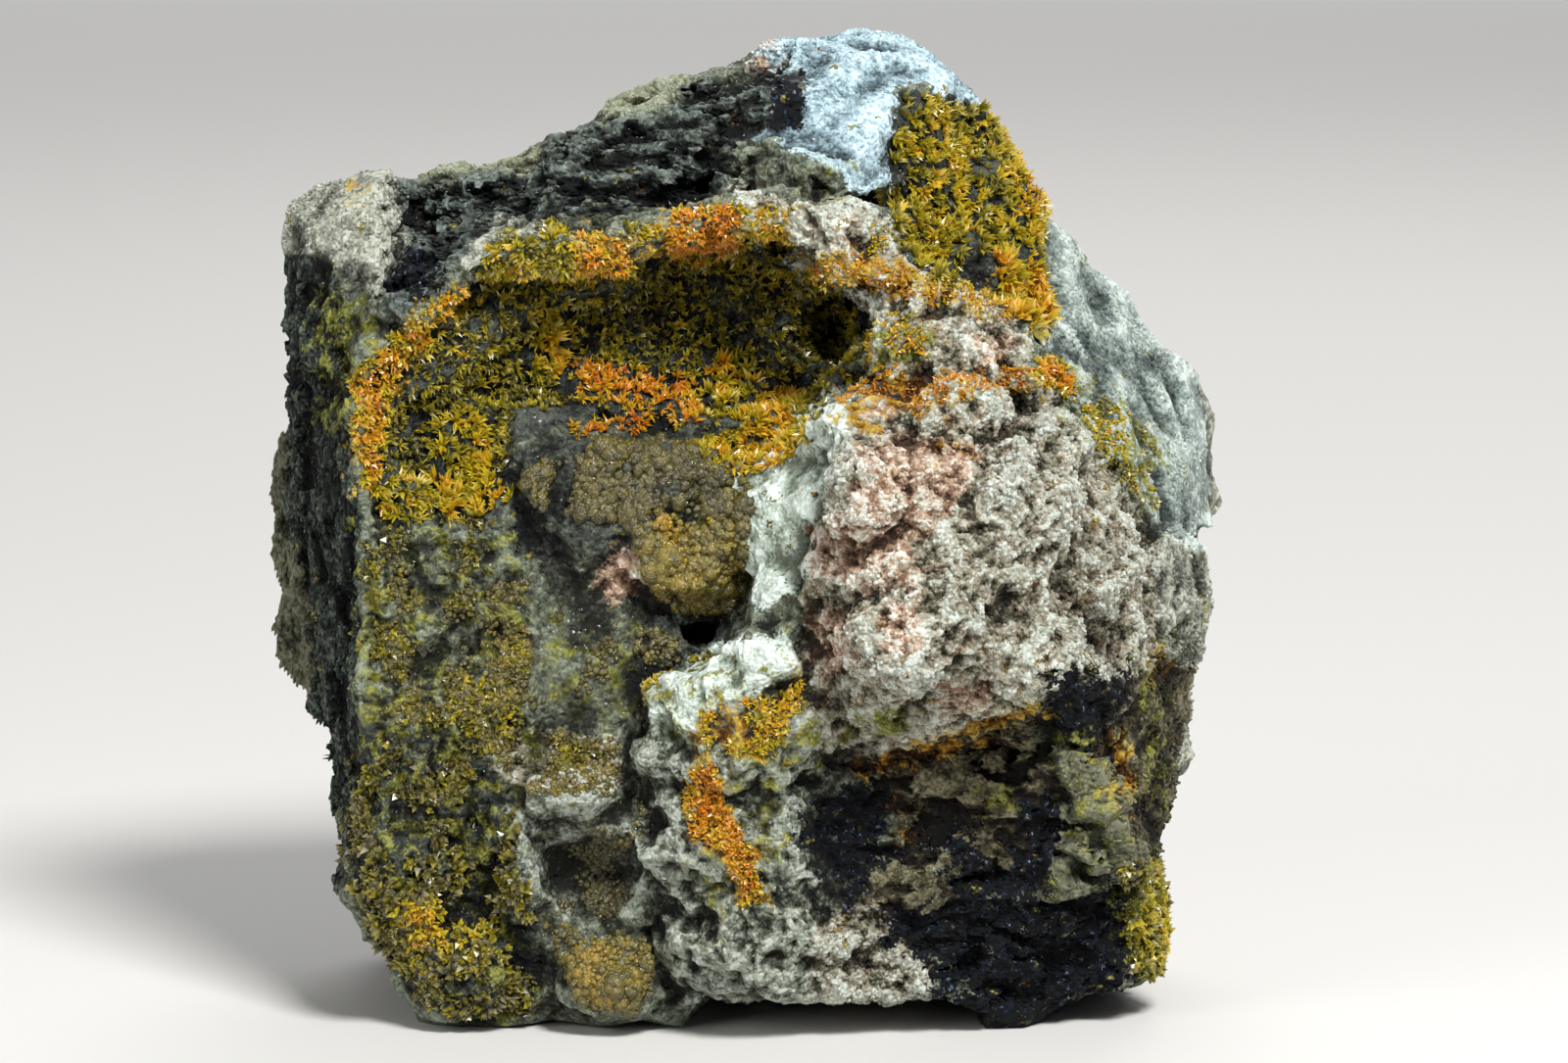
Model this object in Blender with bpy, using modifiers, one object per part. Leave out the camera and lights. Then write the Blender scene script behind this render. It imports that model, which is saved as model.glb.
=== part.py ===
"""Mimetite and pyromorphite on matrix: a fist of broken quartz and gneiss with a crystal-lined hollow.

The specimen is modelled square to its broad face, in millimetres, with x to the right, y away from
the viewer and z up. It then leans back by LEAN, is cut flat where it rests, and is scaled to metres.
"""

import math
import random

import bmesh
import bpy
from mathutils import Matrix, Vector
from mathutils.bvhtree import BVHTree

# Driving dimensions, in millimetres unless the name says otherwise.
MM = 0.001
LEAN = math.radians(8)          # the broad face leans back by this much
BASE_LEVEL = 1.3                # height, once leant back, at which the rock is cut flat to rest
CRUST_OVER_BASE = 0.8           # the crusts end this far above the flat
VOXEL = 0.6                     # grain of the remeshed rock
ROCK_TRIANGLES = 4500
CRUST_GAP = 0.3                 # clearance between a crust and the rock that it lines
FEATHER = 0.5                   # depth to which a crust's edge dips under the rock's surface
HAIRLINE = 0.02                 # clearance that a crust keeps even where it crosses the rock steeply
WELD = 0.005                    # points nearer than this are one
BROAD_LUMPS = (7, 1.5)          # size and height of the weathering
SMALL_LUMPS = (2.6, 2.2)
SPIKE_ROOT = 0.6                # depth of a crystal's root under the rock's surface
SPIKE_WIDTH = 0.27              # half-width of a crystal's root, as a share of its length
VIEW_DISTANCE = 60              # from which the rock's face is sought

# How uneven things are, as shares of their size.
GRID_UNEVENNESS = 0.28
THICKNESS_RANGE = (0.6, 1.3)
PEAK_RANGE = (0.1, 1)
PEAK_LEAN = 0.35
PEAK_FORWARD = 0.5              # the peaks and sprays turn towards the viewer by this much
SPRAY_FORWARD = 0.6
SPRAY_LENGTHS = (0.75, 1.25)
SPRAY_SPREAD = 0.5
KNOB_RANGE = (0.9, 1.1)
SPRAY_TRIES = 3000

ROCK_ROUGHNESS = 0.85
CRYSTAL_ROUGHNESS = 0.35

MAIN_BLOCK = [
    # broad face, from the upper left round to the lower right
    (-27.5, -8, 52), (-27.5, -10, 38), (-27.8, -10, 20), (-26.5, -7, 9), (-20, -5, 1.2), (-9, -7, 1.6),
    (5, -9, 2.4), (20, -7, 1), (29, -5, 3), (29, -6, 20), (30, -3, 34), (24, -3, 44), (18, -2, 52),
    # left flank
    (-33.6, 4, 59), (-33.8, 8, 38), (-30.8, 10, 26), (-29.6, 8, 14), (-27.8, 6, 8),
    # back
    (-29, 20, 60), (-31, 24, 40), (-27, 24, 8), (-18, 18, -2), (20, 20, -2), (30, 20, 8),
    (35, 18, 42), (31.5, 16, 51), (22, 14, 60), (14, 14, 72), (4, 14, 73), (-10, 15, 67),
    (-10, 28, 40), (15, 28, 35), (0, 26, 10), (5, 24, 58),
]

BLOCKS = {
    "upper_left_corner": [
        (-34.2, 6, 61), (-34.4, 2, 57), (-33.6, -2, 48), (-30, -4, 61.5), (-27, -4, 63.5),
        (-25, -3, 62.5), (-25.5, -6, 57), (-27, -8, 53), (-30, -7, 49), (-33, 12, 62), (-26, 12, 64),
    ],
    "dark_band": [
        (-14.5, -2, 62), (-14.5, 0, 65.3), (-12, 3, 66.5), (-5, 5, 69.3), (4.5, 4, 70.6),
        (4.5, -2, 68), (0, -5, 65), (-1, -5, 62), (-14, -4, 60), (0, -5, 60),
        (-14, 12, 65), (4, 14, 71),
    ],
    "band_step_low": [
        (-14.6, -5.4, 60.6), (-3, -6.6, 62), (-3, -6.6, 63.2), (-14.6, -5.2, 62), (-14.6, 3, 61),
        (-3, 3, 62.6),
    ],
    "band_step_middle": [
        (-15, -3.6, 62.8), (-1, -6, 65.2), (-1, -5.6, 66.8), (-15, -3, 64.4), (-14, 5, 63.4),
        (-1, 5, 66),
    ],
    "band_step_high": [
        (-12, -0.8, 65.2), (4.4, -3, 68), (4.4, -2.2, 69.8), (-12, 0.2, 66.8), (-10, 8, 66),
        (4.4, 8, 69.6),
    ],
    "back_ledge": [
        (-24.5, 4, 63), (-15, 6, 64.2), (-15, 3, 62.5), (-24, 1, 61.8), (-24.5, 16, 63.5),
        (-13, 16, 66), (-20, 8, 58),
    ],
    "back_hump_left": [
        (-10.5, 11, 69), (-6, 10, 71.2), (-4, 9, 71.4), (-9, 18, 69.6), (-3, 20, 70), (-12, 14, 64),
        (0, 14, 64),
    ],
    "back_hump_right": [
        (-3.5, 8, 70.8), (-1, 7, 71.2), (0.5, 8, 71.4), (2, 5, 73.6), (4.4, 5, 74), (5.5, 4, 72.6),
        (-3, 16, 70), (6, 16, 73), (0, 6, 66), (5, 3, 68),
    ],
    "white_block": [
        (4.5, 2, 73), (4.5, -2, 69), (0, -5.5, 66), (0, -6, 63.5), (2, -8, 61.3), (8, -8, 60.5),
        (10.5, -5.5, 61.3), (11.3, -3.5, 69), (14, 1, 70.8), (17, 3, 70), (18, 5, 68.7),
        (16, 5, 71), (13.5, 5, 72.8), (10, 5, 74), (5, 16, 74), (12, 16, 74), (18, 16, 70),
    ],
    "facet_body": [
        (10.8, 0.5, 70), (10.5, -3, 61), (10, -5, 57), (12, -5, 55), (18, -4, 52.5), (22, 0, 52),
        (22.4, 3, 60), (20.6, 5, 65), (18, 5, 68.5), (22, 15, 60), (18, 16, 68), (12, 12, 70),
    ],
    "rim_shelf": [
        (-22, -5, 55.5), (-19, -7, 59), (-10, -8, 60), (0, -8, 60.8), (1, -8, 58.8), (-10, -8, 57),
        (-19, -8, 57), (-20, 4, 59), (2, 4, 62), (2, 4, 58), (-20, 4, 56),
    ],
    "boss": [
        (6, -16, 40), (12, -20, 43.5), (18, -20, 43.5), (24, -15, 42), (29, -8, 35), (29.5, -8, 28),
        (27, -12, 24), (16, -17, 23), (8, -16, 23), (5, -14, 27), (5, -15.5, 34), (14, -24, 38),
        (15, -24.5, 31), (21, -22, 35), (9, -11, 47.5), (22, -8, 47.5), (7, -10, 20.5), (28, -6, 21),
        (2, -4, 30), (31, 4, 30), (16, 4, 50),
    ],
    "pale_shoulder": [
        (0.3, -10, 41), (3, -11, 43.3), (6, -14, 45), (7, -16, 34), (1, -12, 33), (0, -10, 37),
        (1, -2, 40), (5, -2, 46), (6, -13, 30),
    ],
    "right_flank": [
        (22, 5, 60.4), (25.4, 9, 58.5), (26.6, 10, 56), (30.6, 14, 51.8), (34.8, 15, 48.8),
        (36.4, 17, 44), (36, 17, 38), (27, 1, 45), (21, -3, 51), (30, -1, 36), (33.5, 9, 37), (20, 14, 60),
        (28, 24, 50), (30, 26, 36), (34, 24, 40),
    ],
    "right_bulge": [
        (31, -3, 37), (33.5, 2, 37), (35.3, 6, 34), (35.3, 6, 31), (33.8, 4, 28), (31, -4, 28),
        (31, 6, 26), (32, 14, 38), (33, 16, 28),
    ],
    "right_lower_flank": [
        (29, -6, 21), (31, -3, 26), (33.4, 6, 27), (33, 8, 21), (31.6, 6, 15), (30.5, 3, 11),
        (29, -4, 12), (30, 16, 10), (32, 18, 20), (33, 18, 27), (29, 1, 5),
    ],
    "back_left_slab": [
        (-36, 19, 37), (-35.8, 18, 43), (-33.8, 19, 48), (-35.9, 18, 31), (-35.8, 18, 27.2),
        (-33.6, 17, 24.2), (-28, 14, 26), (-28, 27, 30), (-30, 27, 45), (-28, 14, 46),
    ],
    "back_right_slab": [
        (34, 18, 28), (34, 17, 24), (34.2, 18, 20.5), (32, 17, 15), (32, 25, 20), (30, 25, 36),
        (34.4, 20, 34), (33.6, 19, 40), (28, 14, 25), (26, 22, 14), (27, 24, 40),
    ],
    "centre_ledge": [
        (-16, -8, 43), (-16, -10.4, 40.6), (-14, -9.6, 36.6), (-8, -9.4, 37), (-6.6, -10.6, 32.6),
        (-1, -10.6, 32), (0.6, -10.6, 37), (1, -10.6, 42), (-4, -11, 43.4), (-10, -10.6, 43.4),
        (-14, 0, 42), (-2, 0, 42), (-3, 0, 34), (-12, 0, 38),
    ],
    "back_plate_upper": [
        (-21, 22, 60), (-9, 24, 63.5), (7, 21, 61), (12, 24, 51), (3, 27.6, 46), (-14, 27.4, 45),
        (-23, 20, 51), (0, 18, 62),
    ],
    "back_plate_middle": [
        (-4, 29, 44), (8, 28.6, 40), (19, 25, 43.5), (25, 24, 33), (18, 26.6, 25), (6, 29.4, 20),
        (-3, 27.6, 31), (22, 18, 38),
    ],
    "back_plate_lower": [
        (-23, 25, 29), (-12, 27.4, 32), (-3, 26.4, 20), (-8, 23.5, 7), (-19, 22.5, 9), (-25, 17, 18),
        (-4, 18, 10),
    ],
    "back_wedge_left": [
        (-27, 20, 46), (-18, 27.4, 41), (-13, 27.8, 33), (-24, 24.6, 27), (-29, 16, 36), (-18, 20, 44),
    ],
    "back_foot": [
        (1, 28, 21), (10, 27, 15), (15, 23.6, 5), (3, 23.6, 4), (-4, 25.4, 13), (8, 18, 8),
    ],
    "back_edge_right": [
        (20, 24, 26), (29, 20.6, 22), (29, 19, 9), (21, 20.6, 4), (24, 24, 15), (20, 14, 10),
    ],
    "lower_right_wall": [
        (4, -12, 20), (24.5, -11.5, 20.5), (28.5, -8.5, 12.8), (22.5, -8.5, 10.5), (8, -12, 9),
        (4, -11, 2.5), (13, -9, 2.8), (18, -8, 3), (16, 2, 3), (26, 0, 20), (4, 0, 16),
    ],
    "prow": [
        (24.3, -12, 20.2), (26.2, -11.5, 16), (29.2, -9, 12.8), (22.5, -10.5, 10.6), (21, -10.5, 15),
        (24, -4, 13), (29, -2, 14), (27, -2, 20),
    ],
    "lower_right_block": [
        (17, -7.5, 9), (29.5, -6, 11.5), (30.2, -4.5, 3.4), (16, -7, 3), (31.6, 1, 4.6),
        (31.8, 1, 11), (18, 6, 2),
    ],
    "foot_prong": [
        (18.5, -6, 3), (18.4, -4, -1), (21.4, -4, -1), (22, -6, 3), (18.5, 4, -1.5), (21.4, 4, -1.5),
        (18.5, 2, 4), (22, 2, 4),
    ],
}

# Rounded masses: centre x, y, z and then the three half-widths.
BOULDERS = {
    "lower_middle_bulge": (0.5, -9.5, 14, 6.8, 6, 7.5),
    "lower_middle_foot": (1.5, -7.5, 7, 8, 6.5, 5),
    "pocket_rim_right": (-4.3, -10, 15.5, 3.2, 4, 5),
    "white_crust_left": (-4.2, -12, 24.3, 3.2, 3.5, 2.7),
    "white_crust_middle": (-0.8, -13, 24.8, 4, 4, 3.4),
    "white_crust_upper": (2, -13, 27.6, 3.4, 4, 2.8),
    "white_crust_top": (3, -12, 31.4, 2.8, 4, 2.6),
    "white_crust_low": (0, -12.5, 20.8, 4.2, 4, 3.2),
    "white_crust_low_left": (-4.2, -10.5, 20.4, 3.6, 4, 2.6),
    "white_crust_right": (4, -12, 23, 3.4, 4, 3.4),
    "lower_left_lobe": (-20.2, -3, 5.4, 5.4, 6.5, 6),
    "boss_dome": (15.6, -12.5, 34.4, 11.4, 11.4, 12.2),
    "boss_lump_upper_left": (9.8, -19.5, 39.6, 4, 4.4, 4.2),
    "boss_lump_upper_right": (20, -20, 38.8, 4.6, 4.6, 4.6),
    "boss_lump_lower_left": (11.4, -21, 29, 4.2, 4.4, 4),
    "boss_lump_lower_right": (21, -19.6, 28.4, 4.2, 4.4, 4),
    "boss_lump_right": (25.2, -14.4, 34.4, 3.4, 4, 5),
    "boss_lump_left": (7.2, -16.4, 34.6, 2.4, 3.6, 4),
    "boss_lump_top_left": (8.6, -15.4, 44.2, 3.4, 4, 2.8),
    "boss_lump_top": (16, -17, 45, 4, 4, 3),
    "boss_lump_top_right": (22.6, -14.6, 43.4, 3, 3.4, 2.8),
    "lower_left_shoulder": (-24.6, -4.5, 12.4, 5, 6, 6.6),
    "bottom_crust_mass": (-9.5, -6.5, 4.2, 4, 4.5, 3.8),
    "pocket_rim_top": (-12.5, -10, 17.6, 4, 3, 1.9),
    "pocket_rim_left": (-16, -9, 12.5, 1.8, 3.2, 4.5),
    "white_block_brow": (4.6, -6.5, 62.8, 3.8, 3.2, 2.2),
    "pocket_pebble": (5, -0.5, 53, 1.6, 2, 1.9),
    "slope_crust": (27, -4, 41, 3, 4, 4),
}

# Strings of knobs that make the crusted ridges: x, y, z and radius of each knob.
KNOB_STRINGS = {
    "upper_rim": [
        (-26.3, -8, 51, 1.9), (-23.6, -8.5, 53, 2.1), (-21, -9, 55.6, 2.1), (-18.4, -9.5, 57.4, 2.2),
        (-15.5, -10, 57.7, 2.5), (-12.5, -9.5, 57.4, 2.4), (-9.5, -9, 57.5, 2.2), (-6.5, -8.6, 58.4, 1.7),
        (-3.5, -8.6, 58.9, 1.6), (-1, -8.8, 60, 1.6), (1.5, -9.3, 60, 2.1),
    ],
    "crossing_ridge": [
        (4.5, -10, 59.5, 2.3), (7, -10.8, 59, 2.6), (9.4, -10.2, 59, 2.3), (8, -11.6, 56.8, 2.3),
        (10.8, -12.2, 55.6, 2.4), (13.3, -12.6, 54.4, 2.3), (16, -12.2, 53, 2.4), (18.8, -11, 51.8, 2.7),
        (20.6, -9, 50.3, 2.4), (12, -13, 51, 3.2), (16, -14, 49.4, 3.6), (19.6, -12, 48.4, 2.8),
        (11.2, -12.4, 48.4, 2.6),
    ],
    "left_rim": [
        (-27.6, -8, 48.6, 1.7), (-28, -8.8, 45.6, 1.8), (-27.4, -9.6, 42.6, 1.7), (-27.3, -10.2, 39.8, 1.6),
    ],
}

HOLLOWS = {
    "main_hollow": [
        (-25, -18, 49.5), (-21, -18, 53.8), (-12, -18, 54.2), (-3, -18, 57.3), (4, -18, 57),
        (9.4, -18, 52.8), (8.8, -18, 47.5), (3, -18, 43.2), (-3, -18, 44.8), (-12, -18, 44.6),
        (-20, -5, 47), (-14, -2.6, 53.4), (-4, 0.6, 56.2), (3, 2.2, 56.6), (7, 4, 52.5), (6, 1, 47),
        (0, -3.6, 45.4), (-10, -5.4, 45.6),
    ],
    "left_hollow": [
        (-27, -18, 47.5), (-26.4, -18, 38.6), (-17, -18, 38), (-16, -18, 43), (-15, -18, 50),
        (-25, -6.5, 47), (-25.2, -8, 40), (-18.5, -7.6, 39.5), (-17, -5, 47),
    ],
    "side_pocket": [
        (-6, -20, 28), (-5.6, -20, 31.4), (-0.6, -20, 31), (-1, -20, 28.4), (-4.2, -2, 29.8),
        (-1.5, -1, 30.2), (-3, -2, 28.4),
    ],
    "band_recess": [
        (-25, -14, 57), (-24.5, -12, 62.2), (-15, -10, 62.4), (-14.6, -10, 60.8), (-20, -14, 59.3),
        (-23, -14, 55.5), (-25.2, -14, 53.6), (-24.5, -1.5, 57), (-24, 2.5, 61.6), (-16, 3, 61.8),
        (-17, 0, 60.2), (-22, -2, 56.4),
    ],
    "band_overhang": [
        (-6, -12, 61), (-6, -12, 63), (-1.2, -12, 64.8), (-0.6, -12, 61.6), (-4.5, 0, 62.8),
        (-2, 1, 63.4), (-2, 0, 61.6),
    ],
    "back_notch_upper": [
        (-30, 40, 44), (-2, 40, 46), (-2, 40, 41), (-30, 40, 36), (-26, 24, 41), (-4, 25.5, 43.6),
        (-14, 24.4, 41.8),
    ],
    "back_notch_right": [
        (10, 40, 66), (30, 40, 58), (26, 40, 48), (13, 40, 50), (14, 20, 58), (20, 19, 54),
    ],
    "back_notch_lower": [
        (4, 40, 20), (18, 40, 19), (18, 40, 8), (6, 40, 9), (8, 20.5, 16), (15, 20, 12),
    ],
    "left_base_notch": [
        (-15.4, -16, -4), (-12.4, -16, -4), (-13.6, -16, 2.4), (-15.2, 6, -4), (-12.4, 6, -4),
        (-13.6, 6, 3.4),
    ],
    "middle_base_notch": [
        (-5.5, -18, -4), (17.8, -18, -4), (-3.5, -18, 2), (12, -18, 2.2), (17.6, -18, 2.9),
        (-5, 5, -4), (17.8, 5, -4), (-3, 5, 3), (17.4, 5, 3.4),
    ],
    "right_base_notch": [
        (21.8, -14, -4), (34, -14, -4), (22.2, -14, 1.2), (25.5, -14, 2.9), (34, -14, 3.4),
        (21.8, 8, -4), (34, 8, -4), (23, 8, 2.6), (34, 8, 4.4),
    ],
}

# Rounded pits: centre x, y, z and then the three half-widths.
PITS = {
    "dark_pocket": (6.6, 0, 51.8, 3.4, 9, 3.4),
    "slot_left": (-10.4, -6, 45.2, 1.1, 5, 0.9),
    "slot_right": (-6, -7, 44.5, 2, 5, 0.9),
    "lower_pocket": (-10.8, -14, 11.6, 4.2, 8.5, 4.4),
    "lower_pocket_cleft": (-6.8, -12, 7.8, 1, 6, 1.8),
    "lower_window": (-6.3, -14, 16, 1, 7, 1.5),
    "crust_slit": (1.6, -15, 27.6, 1.5, 3, 0.6),
    "orange_cavity": (15.4, -14.5, 46.7, 1.5, 4, 0.9),
    "slope_pit": (27.4, -8, 41.6, 1, 3.2, 1),
    "boss_furrow_upright": (14.3, -26, 35.6, 1, 3.6, 5.4),
    "boss_furrow_level": (18.4, -25.4, 33.2, 4.2, 3.2, 0.9),
    "boss_pit_left": (9.6, -24.5, 33, 1.8, 3.5, 1.1),
    "boss_pit_brow": (16.7, -24, 42, 1.6, 3.2, 1.1),
    "boss_pit_right": (22.6, -21, 42, 1.2, 3, 0.9),
    "boss_pit_low": (15.6, -24, 25.6, 1.8, 3.5, 1.2),
    "boss_pit_side": (26.4, -16, 29, 1.6, 3, 1.7),
    "boss_hole_low": (11.4, -18.5, 22.5, 1.1, 3, 0.9),
    "low_hole": (6.3, -14, 7.7, 0.8, 4, 0.7),
    "back_scar_high": (14, 33, 56, 9, 8.4, 7),
    "back_scar_left": (-21, 34, 19, 7, 8.2, 9),
    "back_scar_low": (16, 33.4, 12, 8, 8, 6),
    "back_notch": (-3, 32.6, 36, 4, 4.4, 9),
}

# Crusts of crystals on the rock, each inside its outline of points, right and up, as seen from the
# front or, where it has an azimuth in degrees, from that far round to the right.
# A pointed one is a skin with low peaks and sprays of crystals; a knobbly one is knobs grown together.
# reach is the longest step that the skin takes across an edge, and root its depth before it is cut.
ROCK_COLOUR = (0.42, 0.40, 0.36)
GOLD = (0.85, 0.52, 0.05)
ORANGE = (0.90, 0.38, 0.05)
OLIVE = (0.55, 0.48, 0.06)
HONEY = (0.72, 0.50, 0.18)

POINTED_CRUSTS = {
    "hollow_crystals": dict(
        outline=[
            (-28.5, 38.5), (-29, 46), (-26, 51), (-21.5, 56.5), (-16, 59.5), (-8, 59.5), (1, 62),
            (4, 58.5), (8.4, 53), (8.6, 48), (4, 45.2), (-2, 46), (-11, 46), (-16.4, 43), (-18.6, 38),
        ],
        cell=2.7, reach=18, root=12, thickness=1.4, peak=1.7, spacing=9, length=4, count=4,
        colour=GOLD,
    ),
    "upper_right_crystals": dict(
        outline=[
            (10.2, 70.5), (14.5, 70.5), (18, 68.5), (20.6, 66), (22.8, 61), (23.5, 57), (23, 52),
            (19, 52.5), (16, 54.5), (12.5, 56.5), (10, 59), (10, 65),
        ],
        cell=2.1, reach=7, root=5, thickness=1.3, peak=1.5, spacing=7.5, length=3.2, count=3,
        colour=GOLD,
    ),
    "lower_left_crystals": dict(
        outline=[
            (-30, 11), (-29, 21), (-24, 22), (-20, 21), (-15, 17), (-14.6, 10), (-14.2, 6),
            (-15.5, 1), (-20, 0), (-25, 2), (-28, 6),
        ],
        cell=2.6, reach=8, root=5, thickness=1.3, peak=1.2, spacing=9, length=3, count=3,
        colour=OLIVE,
    ),
    "left_face_crystals": dict(
        outline=[
            (-28.8, 23.4), (-28.8, 35), (-25, 36.4), (-19.5, 34), (-21, 29), (-18, 26), (-19.5, 23.4),
        ],
        cell=2.6, reach=6, root=4, thickness=1.2, peak=0.9, spacing=9, length=2, count=2,
        colour=OLIVE,
    ),
    "middle_vein_crystals": dict(
        outline=[
            (-4, 8), (-4.4, 14), (-3.4, 19), (-3.8, 23), (-1, 26), (2.4, 25), (3.2, 20.5),
            (1.8, 17), (2.2, 12), (1, 7.5),
        ],
        cell=2.1, reach=6, root=4, thickness=1.3, peak=0.9, spacing=8, length=2.4, count=2,
        colour=ORANGE,
    ),
    "right_flank_crystals": dict(
        azimuth=50,
        outline=[
            (7, 48), (9.5, 51), (13, 51), (18, 48), (22, 44.5), (24, 39.5), (20, 36.4), (14.5, 39.4),
            (9.5, 43),
        ],
        cell=2.4, reach=7, root=4, thickness=1.2, peak=0.8, spacing=9, length=2, count=2,
        colour=OLIVE,
    ),
    "right_edge_crystals": dict(
        azimuth=50,
        outline=[(12, 14), (21.6, 13.4), (22.6, 8), (21, 4), (13.4, 3.6), (11, 8)],
        cell=2.2, reach=6, root=4, thickness=1.2, peak=0.8, spacing=6, length=2, count=2,
        colour=GOLD,
    ),
}

# The knobs of each mass: x and z as seen from the front, and radius.
KNOBBLY_CRUSTS = {
    "centre_botryoids": dict(
        knobs=[
            (-14.6, 40.4, 1.9), (-12, 41.4, 1.8), (-9.4, 41.2, 2), (-6.6, 41.4, 2.1), (-3.8, 41, 2.2),
            (-1, 40.4, 2.3), (-12.6, 38.8, 1.7), (-9.8, 38.4, 2), (-6.8, 38.4, 2.2), (-3.6, 37.8, 2.5),
            (-0.8, 37.2, 1.9), (-5.6, 35.2, 2), (-2.6, 34.4, 2.8), (-4.8, 32.8, 1.8),
        ],
        colour=HONEY,
    ),
    "base_botryoids": dict(
        knobs=[
            (-12, 5.4, 1.7), (-9.8, 6.6, 1.9), (-7.6, 5.6, 1.8), (-10.6, 3.9, 1.9), (-8.4, 3.6, 1.6),
        ],
        colour=HONEY,
    ),
    "ridge_crystals": dict(
        knobs=[
            (4.6, 59.8, 1.7), (6.8, 58.8, 1.8), (8.8, 57.6, 1.8), (10.8, 56.4, 1.7), (12.8, 55.4, 1.8),
            (14.8, 54.2, 1.7), (16.8, 53, 1.8), (18.8, 51.8, 1.8), (20.4, 50.2, 1.6), (9.4, 55.2, 1.6),
        ],
        colour=ORANGE,
    ),
}


def clear_scene():
    for obj in list(bpy.data.objects):
        bpy.data.objects.remove(obj)


def new_collection(name):
    made = bpy.data.collections.new(name)
    bpy.context.scene.collection.children.link(made)
    return made


def object_from(bm, name, collection):
    mesh = bpy.data.meshes.new(name)
    bm.to_mesh(mesh)
    bm.free()
    obj = bpy.data.objects.new(name, mesh)
    collection.objects.link(obj)
    return obj


def hull_block(name, corners, collection):
    """A block with flat broken faces, from its corners."""
    bm = bmesh.new()
    for corner in corners:
        bm.verts.new(corner)
    hull = bmesh.ops.convex_hull(bm, input=bm.verts)
    loose = {v for v in hull["geom_interior"] if isinstance(v, bmesh.types.BMVert)}
    bmesh.ops.delete(bm, geom=list(loose), context="VERTS")
    bmesh.ops.recalc_face_normals(bm, faces=bm.faces)
    return object_from(bm, name, collection)


def ellipsoid(name, centre, half_widths, collection, divisions=2):
    bm = bmesh.new()
    bmesh.ops.create_icosphere(bm, subdivisions=divisions, radius=1)
    bmesh.ops.scale(bm, vec=half_widths, verts=bm.verts)
    bmesh.ops.translate(bm, vec=centre, verts=bm.verts)
    return object_from(bm, name, collection)


def as_cutters(collection):
    for obj in collection.objects:
        obj.hide_render = True
        obj.display_type = "WIRE"


def stone_material(name, colour, roughness):
    material = bpy.data.materials.new(name)
    material.use_nodes = True
    shader = material.node_tree.nodes["Principled BSDF"]
    shader.inputs["Base Color"].default_value = (*colour, 1)
    shader.inputs["Roughness"].default_value = roughness
    shader.inputs["Metallic"].default_value = 0
    return material


def boolean(obj, operation, collection):
    modifier = obj.modifiers.new(operation.title(), "BOOLEAN")
    modifier.operation = operation
    modifier.operand_type = "COLLECTION"
    modifier.collection = collection
    modifier.solver = "EXACT"


def rough_texture(name, kind, size):
    texture = bpy.data.textures.new(name, kind)
    texture.noise_scale = size
    return texture


def displace(obj, texture, strength):
    modifier = obj.modifiers.new(texture.name, "DISPLACE")
    modifier.texture = texture
    modifier.texture_coords = "LOCAL"
    modifier.strength = strength
    modifier.mid_level = 0.5


def rock_modifiers(rock, added, removed):
    """Blocks joined, hollows cut, then the whole weathered."""
    boolean(rock, "UNION", added)
    boolean(rock, "DIFFERENCE", removed)
    remesh = rock.modifiers.new("Grain", "REMESH")
    remesh.mode = "VOXEL"
    remesh.voxel_size = VOXEL
    smooth = rock.modifiers.new("Weathering", "SMOOTH")
    smooth.factor = 0.5
    smooth.iterations = 1
    for name, (size, height) in (("broad_lumps", BROAD_LUMPS), ("small_lumps", SMALL_LUMPS)):
        displace(rock, rough_texture(name, "CLOUDS", size), height)


def thin_out(obj, triangles):
    modifier = obj.modifiers.new("Thin out", "DECIMATE")
    modifier.use_collapse_triangulate = True
    modifier.ratio = triangles / (2 * len(obj.data.polygons))


def baked(obj, name, collection):
    """The object with its modifiers applied, in place of the object."""
    graph = bpy.context.evaluated_depsgraph_get()
    mesh = bpy.data.meshes.new_from_object(obj.evaluated_get(graph))
    obj.name = name + "_draft"
    made = bpy.data.objects.new(name, mesh)
    mesh.name = name
    collection.objects.link(made)
    bpy.data.objects.remove(obj)
    return made


def level_cutter(name, level):
    """Everything under a level, which slants in the face's own frame."""
    size = 300
    bm = bmesh.new()
    bmesh.ops.create_cube(bm, size=size)
    bmesh.ops.translate(bm, vec=(0, 0, level - size / 2), verts=bm.verts)
    bmesh.ops.rotate(bm, matrix=Matrix.Rotation(LEAN, 3, "X"), verts=bm.verts)
    cutters = new_collection(name + "_cutters")
    object_from(bm, name, cutters)
    as_cutters(cutters)
    return cutters


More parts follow.
